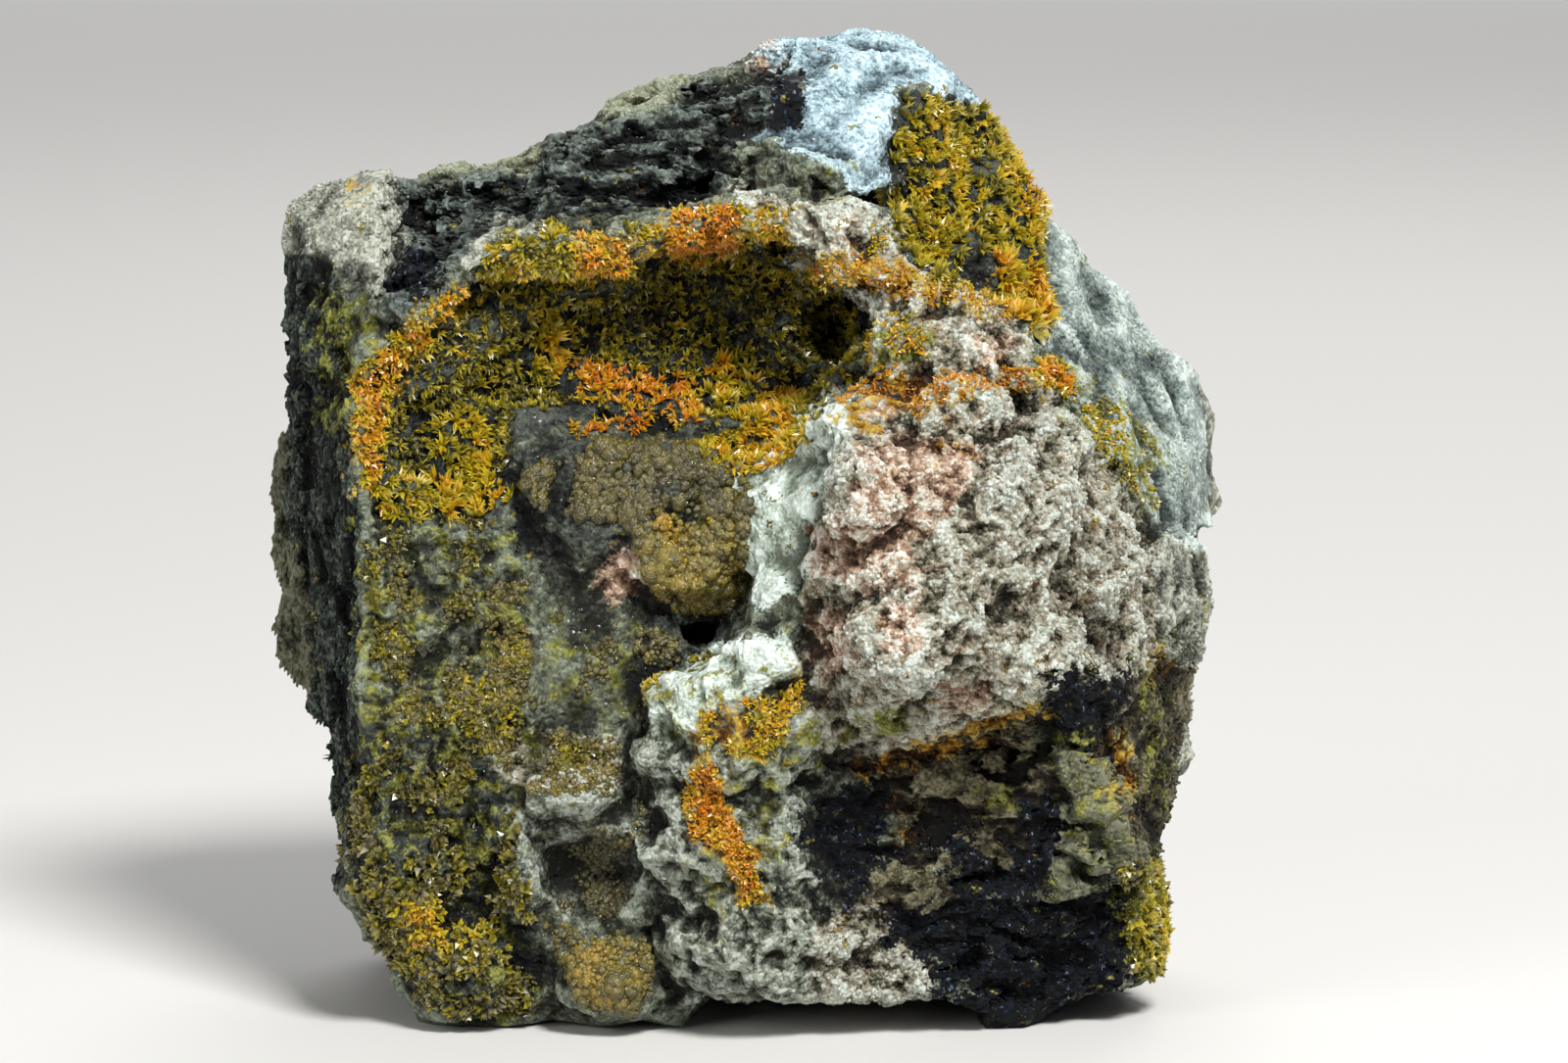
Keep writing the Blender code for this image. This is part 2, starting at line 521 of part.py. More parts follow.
def build_rock(parts):
    added = new_collection("rock_blocks")
    removed = new_collection("rock_hollows")
    for name, corners in BLOCKS.items():
        hull_block(name, corners, added)
    for name, (x, y, z, a, b, c) in BOULDERS.items():
        ellipsoid(name, (x, y, z), (a, b, c), added)
    for name, knobs in KNOB_STRINGS.items():
        for number, (x, y, z, radius) in enumerate(knobs):
            ellipsoid(f"{name}_{number}", (x, y, z), (radius,) * 3, added, divisions=1)
    for name, corners in HOLLOWS.items():
        hull_block(name, corners, removed)
    for name, (x, y, z, a, b, c) in PITS.items():
        ellipsoid(name, (x, y, z), (a, b, c), removed)
    as_cutters(added)
    as_cutters(removed)
    rock = hull_block("rough_rock", MAIN_BLOCK, parts)
    rock_modifiers(rock, added, removed)
    rock = baked(rock, "weathered_rock", parts)
    thin_out(rock, ROCK_TRIANGLES)
    boolean(rock, "DIFFERENCE", level_cutter("rock_base", BASE_LEVEL))
    rock = baked(rock, "matrix_rock", parts)
    rock.data.materials.clear()
    rock.data.materials.append(stone_material("grey_quartz_rock", ROCK_COLOUR, ROCK_ROUGHNESS))
    return rock


def surface_of(rock):
    bm = bmesh.new()
    bm.from_mesh(rock.data)
    tree = BVHTree.FromBMesh(bm)
    bm.free()
    return tree


def view_of(crust):
    """The turn that brings the front view round to the side that the crust is seen from."""
    return Matrix.Rotation(math.radians(crust.get("azimuth", 0)), 3, "Z")


def seen(surface, view, x, z):
    """The point of the rock that faces the viewer at x, z of the view, and its normal."""
    point, normal, _, _ = surface.ray_cast(view @ Vector((x, -VIEW_DISTANCE, z)), view @ Vector((0, 1, 0)))
    return point, normal


def inside(outline, x, z):
    crossings = 0
    for (x0, z0), (x1, z1) in zip(outline, outline[1:] + outline[:1]):
        if (z0 > z) != (z1 > z) and x < x0 + (x1 - x0) * (z - z0) / (z1 - z0):
            crossings += 1
    return crossings % 2 == 1


def extent(outline):
    xs = [x for x, _ in outline]
    zs = [z for _, z in outline]
    return min(xs), max(xs), min(zs), max(zs)


def grid_within(outline, cell, chance):
    """An uneven grid that fills the outline, standing in the plane of the face."""
    left, right, low, high = extent(outline)
    wide, tall = right - left, high - low
    bm = bmesh.new()
    bmesh.ops.create_grid(bm, x_segments=round(wide / cell), y_segments=round(tall / cell), size=0.5)
    bmesh.ops.scale(bm, vec=(wide, tall, 1), verts=bm.verts)
    bmesh.ops.rotate(bm, matrix=Matrix.Rotation(math.pi / 2, 3, "X"), verts=bm.verts)
    bmesh.ops.translate(bm, vec=(left + wide / 2, 0, low + tall / 2), verts=bm.verts)
    shift = GRID_UNEVENNESS * cell
    for vert in bm.verts:
        vert.co.x += chance.uniform(-shift, shift)
        vert.co.z += chance.uniform(-shift, shift)
    outer = [f for f in bm.faces if not inside(outline, *f.calc_center_median().xz)]
    bmesh.ops.delete(bm, geom=outer, context="FACES")
    return bm


def crust_skin(name, crust, surface, collection, chance):
    """A skin over the rock, faceted into low points, whose edge runs into the rock."""
    view = view_of(crust)
    bm = grid_within(crust["outline"], crust["cell"], chance)
    missed, facing = [], Vector()
    for vert in bm.verts:
        point, normal = seen(surface, view, vert.co.x, vert.co.z)
        if point is None:
            missed.append(vert)
            continue
        facing += normal
        height = -FEATHER if vert.is_boundary else crust["thickness"] * chance.uniform(*THICKNESS_RANGE)
        vert.co = point + height * normal
    bmesh.ops.delete(bm, geom=missed, context="VERTS")
    stretched = [e for e in bm.edges if e.calc_length() > crust["reach"]]
    bmesh.ops.delete(bm, geom=stretched, context="EDGES")
    bm.normal_update()
    for tip in bmesh.ops.poke(bm, faces=bm.faces[:])["verts"]:
        lean = Vector((chance.gauss(0, PEAK_LEAN), -PEAK_FORWARD, chance.gauss(0, PEAK_LEAN)))
        tip.co += crust["peak"] * chance.uniform(*PEAK_RANGE) * (tip.normal + view @ lean)
    made = bmesh.ops.extrude_face_region(bm, geom=bm.faces[:])
    back = [v for v in made["geom"] if isinstance(v, bmesh.types.BMVert)]
    bmesh.ops.translate(bm, vec=-crust["root"] * facing.normalized(), verts=back)
    bmesh.ops.recalc_face_normals(bm, faces=bm.faces)
    return object_from(bm, name, collection)


def spike(bm, base, direction, length):
    """One tapering crystal with four flat faces and a sharp tip."""
    turn = direction.to_track_quat("Z", "Y").to_matrix().to_4x4()
    place = Matrix.Translation(base) @ turn @ Matrix.Translation((0, 0, length / 2 - SPIKE_ROOT))
    bmesh.ops.create_cone(
        bm, cap_ends=True, segments=4, radius1=SPIKE_WIDTH * length, radius2=0, depth=length,
        matrix=place,
    )


def scattered(crust, surface, chance):
    """Places on the rock inside the outline, no two nearer than the spacing, and which way is out."""
    view = view_of(crust)
    left, right, low, high = extent(crust["outline"])
    placed = []
    for _ in range(SPRAY_TRIES):
        x, z = chance.uniform(left, right), chance.uniform(low, high)
        crowded = any(math.hypot(x - a, z - b) < crust["spacing"] for a, b in placed)
        if crowded or not inside(crust["outline"], x, z):
            continue
        point, normal = seen(surface, view, x, z)
        if point is not None:
            placed.append((x, z))
            yield point, (normal + view @ Vector((0, -SPRAY_FORWARD, 0))).normalized()


def sprays_on(name, crust, surface, collection, chance):
    """Fans of crystals, each grown from one point of the rock."""
    bm = bmesh.new()
    for point, outward in scattered(crust, surface, chance):
        length = crust["length"] * chance.uniform(*SPRAY_LENGTHS)
        for _ in range(crust["count"]):
            lean = SPRAY_SPREAD * Vector([chance.gauss(0, 1) for _ in range(3)])
            spike(bm, point, (outward + lean).normalized(), length)
    return object_from(bm, name, collection)


def knobs_on(name, knobs, surface, collection, chance):
    """Uneven rounded knobs that overlap their neighbours, centred on the rock's surface."""
    bm = bmesh.new()
    for x, z, radius in knobs:
        point, _ = seen(surface, Matrix.Identity(3), x, z)
        turn = Matrix.Rotation(chance.uniform(0, math.pi), 4, "Y")
        sizes = [radius * chance.uniform(*KNOB_RANGE) for _ in range(3)]
        shape = Matrix.Translation(point) @ turn @ Matrix.Diagonal((*sizes, 1))
        bmesh.ops.create_icosphere(bm, subdivisions=1, radius=1, matrix=shape)
    return object_from(bm, name, collection)


def largest_piece(obj):
    """Leaves only the biggest body of the mesh, counting bodies that touch at a point or edge apart."""
    bm = bmesh.new()
    bm.from_mesh(obj.data)
    bmesh.ops.remove_doubles(bm, verts=bm.verts, dist=WELD)
    left, bodies = set(bm.faces), []
    while left:
        body, growing = [], [left.pop()]
        while growing:
            face = growing.pop()
            body.append(face)
            shared = [e for e in face.edges if len(e.link_faces) == 2]
            fresh = {f for e in shared for f in e.link_faces if f in left}
            left.difference_update(fresh)
            growing.extend(fresh)
        bodies.append(body)
    bodies.sort(key=len)
    for body in bodies[:-1]:
        bmesh.ops.delete(bm, geom=body, context="FACES")
    bm.to_mesh(obj.data)
    bm.free()


def rock_cutters(rock):
    """The rock, and the rock made larger all round by the crusts' clearance."""
    cutters = new_collection("rock_cutters")
    for name, growth in (("rock_cutter", HAIRLINE), ("grown_rock_cutter", CRUST_GAP)):
        cutter = bpy.data.objects.new(name, rock.data)
        cutters.objects.link(cutter)
        clearance = cutter.modifiers.new("Clearance", "DISPLACE")
        clearance.strength = growth
        clearance.mid_level = 0
    as_cutters(cutters)
    return cutters


def joined_and_cut(draft, name, crust, added, removed, parts):
    """The draft with what grows on it, cut back from the rock and from the base, as one body."""
    steps = [("UNION", added)] if added else []
    steps += [("DIFFERENCE", cutters) for cutters in removed]
    for operation, cutters in steps:
        boolean(draft, operation, cutters)
        draft.modifiers[-1].use_self = True
    made = baked(draft, name, parts)
    largest_piece(made)
    made.data.materials.clear()
    made.data.materials.append(stone_material(name + "_colour", crust["colour"], CRYSTAL_ROUGHNESS))
    return made


def build_pointed_crust(name, crust, surface, removed, parts):
    chance = random.Random(name)
    sprays = new_collection(name + "_sprays")
    draft = crust_skin(name + "_skin", crust, surface, parts, chance)
    sprays_on(name + "_spray", crust, surface, sprays, chance)
    as_cutters(sprays)
    return joined_and_cut(draft, name, crust, sprays, removed, parts)


def build_knobbly_crust(name, crust, surface, removed, parts):
    draft = knobs_on(name + "_knobs", crust["knobs"], surface, parts, random.Random(name))
    return joined_and_cut(draft, name, crust, None, removed, parts)


def stand_up(parts):
    """Leans every part back and puts the middle of the whole box's underside at the origin, in metres."""
    lean = Matrix.Rotation(-LEAN, 4, "X")
    points = [lean @ v.co for obj in parts.objects for v in obj.data.vertices]
    middle = [(min(p[axis] for p in points) + max(p[axis] for p in points)) / 2 for axis in (0, 1)]
    place = Matrix.Scale(MM, 4) @ Matrix.Translation((-middle[0], -middle[1], -BASE_LEVEL)) @ lean
    for obj in parts.objects:
        obj.matrix_world = place


def main():
    clear_scene()
    parts = new_collection("mimetite_pyromorphite_specimen")
    rock = build_rock(parts)
    surface = surface_of(rock)
    removed = [rock_cutters(rock), level_cutter("crust_base", BASE_LEVEL + CRUST_OVER_BASE)]
    for name, crust in POINTED_CRUSTS.items():
        build_pointed_crust(name, crust, surface, removed, parts)
    for name, crust in KNOBBLY_CRUSTS.items():
        build_knobbly_crust(name, crust, surface, removed, parts)
    stand_up(parts)


main()
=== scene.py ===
import math

import bmesh
import bpy
import numpy as np
from bpy.props import FloatProperty, FloatVectorProperty, IntProperty, PointerProperty
from mathutils import Matrix, Vector


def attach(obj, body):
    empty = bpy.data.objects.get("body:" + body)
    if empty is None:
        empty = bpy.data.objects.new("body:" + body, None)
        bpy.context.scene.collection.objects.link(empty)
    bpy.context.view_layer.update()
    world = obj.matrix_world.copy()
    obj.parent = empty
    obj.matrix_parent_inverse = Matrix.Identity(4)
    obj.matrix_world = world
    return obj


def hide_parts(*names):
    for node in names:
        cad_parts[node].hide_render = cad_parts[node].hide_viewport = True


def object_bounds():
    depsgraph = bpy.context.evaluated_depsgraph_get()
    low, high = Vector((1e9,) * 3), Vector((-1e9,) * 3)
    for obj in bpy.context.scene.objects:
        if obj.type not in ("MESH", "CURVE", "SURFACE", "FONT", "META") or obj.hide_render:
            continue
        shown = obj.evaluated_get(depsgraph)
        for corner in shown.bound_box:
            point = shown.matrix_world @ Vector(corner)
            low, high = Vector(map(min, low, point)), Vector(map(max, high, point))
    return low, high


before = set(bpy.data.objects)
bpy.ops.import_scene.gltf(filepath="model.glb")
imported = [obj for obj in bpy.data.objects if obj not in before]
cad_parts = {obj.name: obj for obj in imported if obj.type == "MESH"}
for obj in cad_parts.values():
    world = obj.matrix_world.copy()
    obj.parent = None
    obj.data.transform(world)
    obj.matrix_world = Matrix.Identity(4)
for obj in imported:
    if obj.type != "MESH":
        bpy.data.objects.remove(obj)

CAD_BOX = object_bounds()

bl_info = {
    "name": "Mimetite and pyromorphite on matrix",
    "version": (1, 0, 0),
    "blender": (4, 5, 0),
    "location": "3D View > Sidebar > Specimen",
    "description": "A broken quartz rock with a hollow and patches of golden lead-mineral crystals",
    "category": "Add Mesh",
}

MM = 0.001

# The broad face's own frame, in millimetres: x to the right, y away from the viewer, z up.
# It leans back by LEAN, and FACE_ORIGIN is where its origin stands in the row frame.
LEAN = math.radians(8)
FACE_ORIGIN = (-0.25, -6.93, -1.30)

# The camera looks square at the broad face, at this point of it, from this far.
AIM = (3.19, 0, 36.94)
SIGHT_DISTANCE = 600
VIEW_WIDTH = 116                # of the face plane, from edge to edge of the picture
SENSOR_WIDTH = 36

# An outline is a row of points, each "right,up" in millimetres, on the plane through AIM square to the
# sight line, as the camera sees them. It counts from that plane down to FRONT, unless its piece says more,
# and on the far side, where BACK holds the outlines, from BEHIND on.
FRONT = 13
BEHIND = 12
DEPTH_BLEND = 4                 # over this much depth it fades out

# Half-width of an outline's soft edge, in millimetres.
EDGE = 1.2
SHARP = {"raised": 0.35}        # in place of EDGE
BACK_EDGE = 2.5
BED_EDGE = 0.5                  # where crystals and grains take root

CLEAR_OF_GROUND = 1.2           # nothing takes root lower than this

# Where each kind of stone shows on the broad face and its sides.
ZONES = {
    "slate_and_shade": (
        # floor of the hollow, bare rock under the upper right crystals, gaps in the druses; dark stone,
        # and partly painted shade in the gaps and under the centre's knobs
        "-27,38 -27,49 -20,55 -12,57 -2,60 5,58 10,54.5 10,48 4,43.5 -3,44.5 -12,45 -16.5,43.5 -18,37.6",
        "10.6,61.2 11.4,69.8 16,69.6 20.4,66 22.6,61 23,52 18,52 12,56",
        "-28.8,10.4 -29.4,14 -28.4,22.8 -24.6,22.6 -19,20 -16.6,16.6 -15.6,10 -14.2,5 -15.8,0.6 -20,-0.6 "
        "-24.6,3 -28,8",
        "-23.6,17.6 -18,17.8 -17.6,14 -20.4,12.6 -23.2,13.8",
        "-22.6,36.6 -20.4,36 -19.8,34 -21.4,33.6",
        "-6.4,31.8 -0.4,32 -0.8,28 -4.4,26.6 -8,23.2 -8.6,26 -7.4,29.6",
        "-17,43 -12,44 -4,44 1,42.6 0.6,38 0.4,32 -4.4,30 -7.4,33.6 -12.6,34.6 -17,35.6",
        "26.6,37.6 29,37.4 29.6,33 28,31.6 26.6,34",
    ),
    "dark_band": (
        "-25.4,62.5 -15,63.3 -14.6,65.6 -10,67.2 -5.5,67.6 -4.2,69.8 0.5,70.4 4.5,70.9 4.4,67.4 0,66.8 "
        "-0.8,65 -1,62.6 -3.4,60.8 -10,60.3 -18,59.7 -20.4,57.6 -22.4,55 -24,53 -26.4,53 -25.6,56 "
        "-24.6,58 -25.6,60.5",
    ),
    "dark_flank": (
        "-38,57.6 -31.4,57.4 -29.6,55.6 -28.6,51 -29.6,46 -28.6,42.5 -27.9,38 -28.3,30 -28.3,20 -29,14 "
        "-29.8,9.5 -27,5 -38,4",
    ),
    "white": (
        "0,66.8 4.5,67.5 4.6,70.8 0.2,70.8 1.4,73.4 3.4,76 15,75 18,71 19,67.8 14,69.9 11.4,70 10.5,61.2 "
        "8.4,61 7.6,63.4 3,65.6",
    ),
    "milky": ("22,60.6 27,57.6 31,52.6 36,48 38,40 37,34 31,37 29,41 26,44 22.6,49 22.4,54",),
    "frosted": (
        "0.4,43 3,45 6.5,47 8.4,48 8.4,43.6 5.6,38 4.8,33 1.6,31 -0.6,33 -0.6,40",
        "-7,24.6 -6,26 -2.6,28.4 3,29.4 4.6,27 2,25 -1.6,24.4 -2.4,21.6 -5.6,21 -7,22.6",
    ),
    "pale": (
        "30.4,38 34,38 37,34 36,27 31,27 30,32",
        "-21,56 -19.8,59 -17,60.3 -12.6,61 -12.8,59.8 -17,58.8 -19,57",
        "-36,57.4 -35,64 -24.2,64.6 -25,61 -24.6,58.4 -25.8,56.2 -26.4,54 -29,55.6 -31,57.4",
    ),
    "chalky": (
        "7.4,44 9,48 22,48.6 27,43 30.6,36 30.8,27 28.6,26 22,24.6 15,21.6 7.6,19.6 5,21 4.2,28 4.6,33 "
        "5.4,38",
        "6,8.6 8,9.4 12,8 14.4,3 9,1 6,2 4.6,6",
        "-1,63 3,61.6 9,61.4 11.4,60 11.4,57.4 15,55.4 19,53.8 21.6,51.6 21.2,48 10,47.2 9,50.4 10,52.4 "
        "7,54.4 4.4,56.6 1,58",
        "-18,22 -14,22.4 -9,21.4 -8.6,18 -16,17.6 -18.6,19.4",
    ),
    "drusy": (
        "-8.6,20.6 -6,21.6 -7.2,25.4 -4,27.8 0.2,27.4 4.4,27 5.2,21 7.4,19 3.8,15.6 6.6,11.5 7,9 6,1 "
        "-4,1.6 -5.6,6 -6,11 -7.5,14 -9.8,17.6",
        "-17.6,17 -8,18 -6,12 -7.6,8.4 -13.6,8.6 -16,11",
    ),
    "layered": (
        "28.8,28 30,32 33,36 37,33 36,24 33,15 32.4,12 30.4,12.6 28.4,15 26.6,20 25.6,24 28,25.6",
    ),
    "brown": (
        "16.6,-2 17,2.6 19,3 23,2.4 23.4,-2",
        "7,20.2 12,21 15,22.4 22,25 28.6,26.4 29.4,27 31,30 34,30 33,20 31.6,12.6 28.4,11.8 22.4,10.2 "
        "15,9.4 14.8,4 9.6,2 8,6 8.6,10 9,12 11.2,15 11,18 7.4,18.4",
    ),
    "beige": (
        "-37,49 -34.2,48 -33.6,38 -33,30 -31,24.4 -38,23",
        "-10.6,69 -6,71.6 -4,71.4 -5.4,68 -10,67.4",
        "-24.6,63 -24.6,65 -14.6,66 -15,63.6",
    ),
    "slab": (
        # edge and panel of the prow at the lower right, then the slab behind the left flank
        "21.4,23.4 24,24.4 26,20 27.4,17 28.4,14.4 30.4,12.6 28.4,11.4 22.6,10.2 22.8,12.4 23.6,14 "
        "23.4,16.6 22,19.6",
        "-40,43 -40,23 -31.5,24.7 -31.2,26.2 -31.8,29.9 -32.3,33.5 -33.1,37.1 -33.8,40 -34.1,42.9",
    ),
    "navy": (
        "3.7,15.4 5.4,16.7 7,17.5 7.4,18.5 10.5,18 11.3,16.6 11,14.8 9.8,13 9,11.6 8.7,10.6 7.8,9.1 7,11 "
        "5.6,12.6 4.5,14",
        "10,14 12.2,13.5 11,12 9.9,12.2",
        "15.3,14.6 17.4,14.2 17.8,12.4 20,12.2 20.8,14.2 20.8,17.2 23.5,17.4 23.6,13.2 22.6,10.4 17,9.2 "
        "15,10.6",
        "10.6,8.2 15,9.8 22.4,10.4 24.8,10.8 28.2,11.8 29,8 29.4,2.4 22,1.6 18.6,2.4 14,2.6 13.6,5.4 11,6",
        "22.2,25.5 24.6,26.6 27.2,25.6 28.6,27.2 29,24.6 27.2,23 26.2,21.4 24,20.8 22.4,22.4",
        "-26,57 -24.4,57.7 -22,56 -22.4,54.4 -24.4,54 -26,55.2",
        "2.3,70.2 4.5,70.9 4.4,67.3 2.5,67",
        "15,-2 15.6,3.4 25,3.4 25,-2",
    ),
}

# The same stones and stains on the side away from the viewer: outlines as seen through the rock.
BACK = {
    "dark_flank": ("-38,2 -38,58 -25,60 -21,46 -24,30 -19,12 -23,0",),
    "dark_band": (
        "-26,61 4,71 9,63 -6,56 -22,51",
        "-20,30 -4,25 8,12 16,9 12,6 2,9 -9,20 -20,24",
    ),
    "slab": ("-40,50 -33.6,50 -33.4,38 -31.4,30 -31.4,23 -40,21",),
    "beige": (
        "-21,45 -4,51 14,45 20,31 8,23 -10,27 -21,33",
        "22,16 30,22 33,14 26,8",
    ),
    "pale": (
        "8,64 20,68 38,50 38,20 30,20 20,31 14,45",
        "-14,62 -4,66 2,60 -10,58",
    ),
    "brown": ("-20,12 -2,14 10,8 24,12 32,2 20,-2 -20,-2",),
    "chalky": ("-4,38 6,42 12,36 2,30",),
    "navy": ("13,-3 13,3.4 27,3.4 27,-3",),
    "yellow_stain": (
        (0.55, "-8,42 6,44 12,34 -4,28"),
        (0.5, "16,22 28,26 31,8 20,6"),
        (0.5, "-20,18 -10,22 -8,12 -18,8"),
    ),
    "orange_stain": (
        (0.5, "-18,54 -4,58 3,51 -12,46"),
        (0.5, "18,40 26,44 28,34"),
    ),
}

# Patches that are stained or dusted rather than made of another stone: how much is covered, outline.
STAINS = {
    "pink": (
        "8.5,43 12,44.4 17.6,43.6 16.8,40.4 15.4,38 12.8,36 12.8,33.4 10.4,32.4 8,32.6 5,33.4 5,37 "
        "7.6,38.4",
        "10.4,31.8 13.6,31.6 13.2,28 10.6,27.6",
        "5,31.5 8.2,31 8,26.6 5,27",
        "14.8,25.6 18,26 18,23.8 15.2,23.4",
        "-10.8,33.2 -9.6,35.1 -7.2,35.1 -7.3,32 -9.8,31.8",
        "0.6,71 1.6,73.4 2.8,73.6 2.2,71",
        "8.6,46.4 12,47.6 13.4,46.4 11,44.8 8.4,44.6",
        "17,51.6 20,51.2 20,49 17.4,48.6",
        (0.22, ZONES["chalky"][0]),
        (0.3, "1,60 9,61 11,57 20,53 21,49 10,48 9,52 4,56"),
        (0.16, "6,8.6 12,12 14.4,3 6,1.6"),
    ),
    "yellow_stain": (
        (0.5, "-32,55 -28,55 -26,52.4 -26.4,48 -28,45 -29.6,43.4 -31.8,45"),
        (0.42, "-28.6,37.8 -17,37.4 -15.6,33 -15,28 -16,24 -9,20.6 -16.4,16.6 -15.6,10 -14,1.6 -19,-1 "
         "-24.4,3 -29,8.5 -30,14 -28.6,20"),
        (0.4, "-16,31 -7,31 -7.4,22.6 -14,22"),
        (0.44, "21.4,50.4 25,50 28.4,47.4 31.4,44 32.4,40 31.4,37 29.2,38.6 27,41.4 24,45 21.6,47.8"),
        (0.7, "27.8,12 31.8,12.8 32.4,8 31,3.4 28.6,4.4 28,8"),
        (0.4, "-8,25.4 -4,28 0.2,27.6 4,28 3,31.4 5.4,31.4 4.4,26 7.6,21 7,18.8 3.6,19 3,10 -3,7 -4,20 "
         "-7.6,22"),
        (0.8, "10,23.6 12.6,23.8 12.6,21.8 10.2,21.6"),
        (0.66, "7.4,23.2 9.4,23.4 9.2,21.8 7.6,21.8"),
        (0.6, "-8,37 -4,39 0.6,38.6 0.6,31.6 -4,30.4 -7,32 -7.2,35"),
        (0.6, "17.6,17.8 19.8,17.8 20,16.2 18,15.8"),
        (0.36, "21.6,23.4 25,24 27.6,17 29,12.6 23,11 24,15"),
        (0.5, "29,27.6 32.6,31 31.6,24 31.4,16 29,16 29.6,22"),
        (0.66, "9.4,52 12,53.4 15,50.6 12,47.8 9.2,48.8"),
        (0.45, "3,64 8,65 8.4,61.6 4,61.4"),
    ),
    "orange_stain": (
        (0.5, "-28.8,48.6 -27,50.6 -22.4,54.4 -20.8,56 -19.6,54 -22.4,50.4 -25.4,47 -26,44 -26.2,39.6 "
         "-28.4,39.6 -28.8,44"),
        (0.5, "-13,60 -8,59.2 -5,61 4.4,61.4 4.2,57.6 0,57.4 -3,55.8 -8,56.6 -12.6,54.6"),
        (0.62, "4,57.8 6,58 11,57.6 15,55.8 20,54 21.4,52.4 16,52.8 11,54.2 7.6,54.6 5,54.8"),
        (0.55, "6.6,46.8 10,49 14.4,49.2 20,49.4 24,49.6 24.4,47.6 16,46.4 10.6,44 7,43.8"),
        (0.8, "-3.6,19.8 -1.6,20 -0.8,16.8 1.4,12.8 1.6,9.4 0,9.2 -1.6,13 -3.6,14.2 -4,17"),
        (0.55, "-3.4,23.6 -1,25 2.6,24.6 4.4,27 5,24.6 2.4,20 -1,20.4 -4,21.2"),
        (0.62, "-6.6,36.4 -0.2,37 0,31.6 -4,30.6 -6.4,32"),
        (0.6, "8,19.8 12,21.2 15,22.4 22,24.8 22.4,23 16,20.2 9,18.4"),
        (0.75, "30.4,28.4 31.8,28 31.4,26 30.4,26"),
        (0.7, "25.6,20.6 28.6,22.4 29.6,18 28,15.6 26.4,18"),
        (0.75, "-25.6,9.6 -22,9.6 -21.4,6 -24,5.6"),
        (0.6, "-29.4,63 -27.6,63 -27.8,61 -29.4,61"),
        (0.5, "11,17.4 12.4,17 12.6,13.6 11,14.2"),
        (0.5, "13.6,43.4 17.2,44.4 17,42.4 14,42"),
    ),
}

# How the rock broke: spongy, in level or upright steps, standing out, or worn smooth.
RELIEF = {
    "porous": (
        "5,44.6 9,47.4 22,48 26.6,43 30.2,36 30.6,28 22,22 7.6,20.4 5.4,24 4.6,31 5,38",
        "-7,20 4,20 6.8,17.6 3.8,14 8,9 13,8 14,2 -4,2 -6,9",
        "4,60.6 11,61 11.4,57 21.8,52 21.4,47.6 9.6,47 9,53 4,56",
        "1.6,65 8.4,65.4 8.6,60.8 2,61",
        "-28,37 -17,37 -15,30 -16,20 -15,2 -24,2 -28,10",
        "26.4,43 29.4,43.4 31.8,40 29,38",
    ),
    "cleaved": (
        "-26,63 -15,64 -14,66 -4,70.4 4.6,71 4.4,67 -1,62 -10,60 -19,59 -24,52.6 -26.6,53",
        "8,19 24,24 28,20 28,12 30,3 14,2 11,8 9,12",
    ),
    "upright": ("-38,57 -31,57 -28.6,51 -28,40 -28.3,20 -29.8,9 -38,6",),
    "raised": (
        "23.4,24 26,24 27.4,18 28.6,14.4 30,12.2 28.2,11.4 22.6,10.4 22.8,12.6 25.4,14 24.8,16.6 "
        "23.4,19.6",
    ),
    "smooth": (
        "22,61 27,58 36,48 38,34 32,34 30,41 22,52",
        "0,66 4.5,71 8,75 15,74 18,70 11,69 10,62 5,65",
        "-7,32 -7.4,22.6 -15,22 -16,32",
        "-14.8,15.4 -12,17 -8.8,16 -7,12.8 -8.4,9 -12.4,8 -15,10",
        "-16,48 -10,46 -12,44 -17,43.6",
        "0.8,33 5,33 6,43.4 2.6,41.6",
        "4.6,67.4 4.6,71 10,73 15,71.6 11.4,69.6 10.5,63",
        "-36,58 -35,64 -24.2,64.6 -25,58 -27,55 -31,57.4",
    ),
}

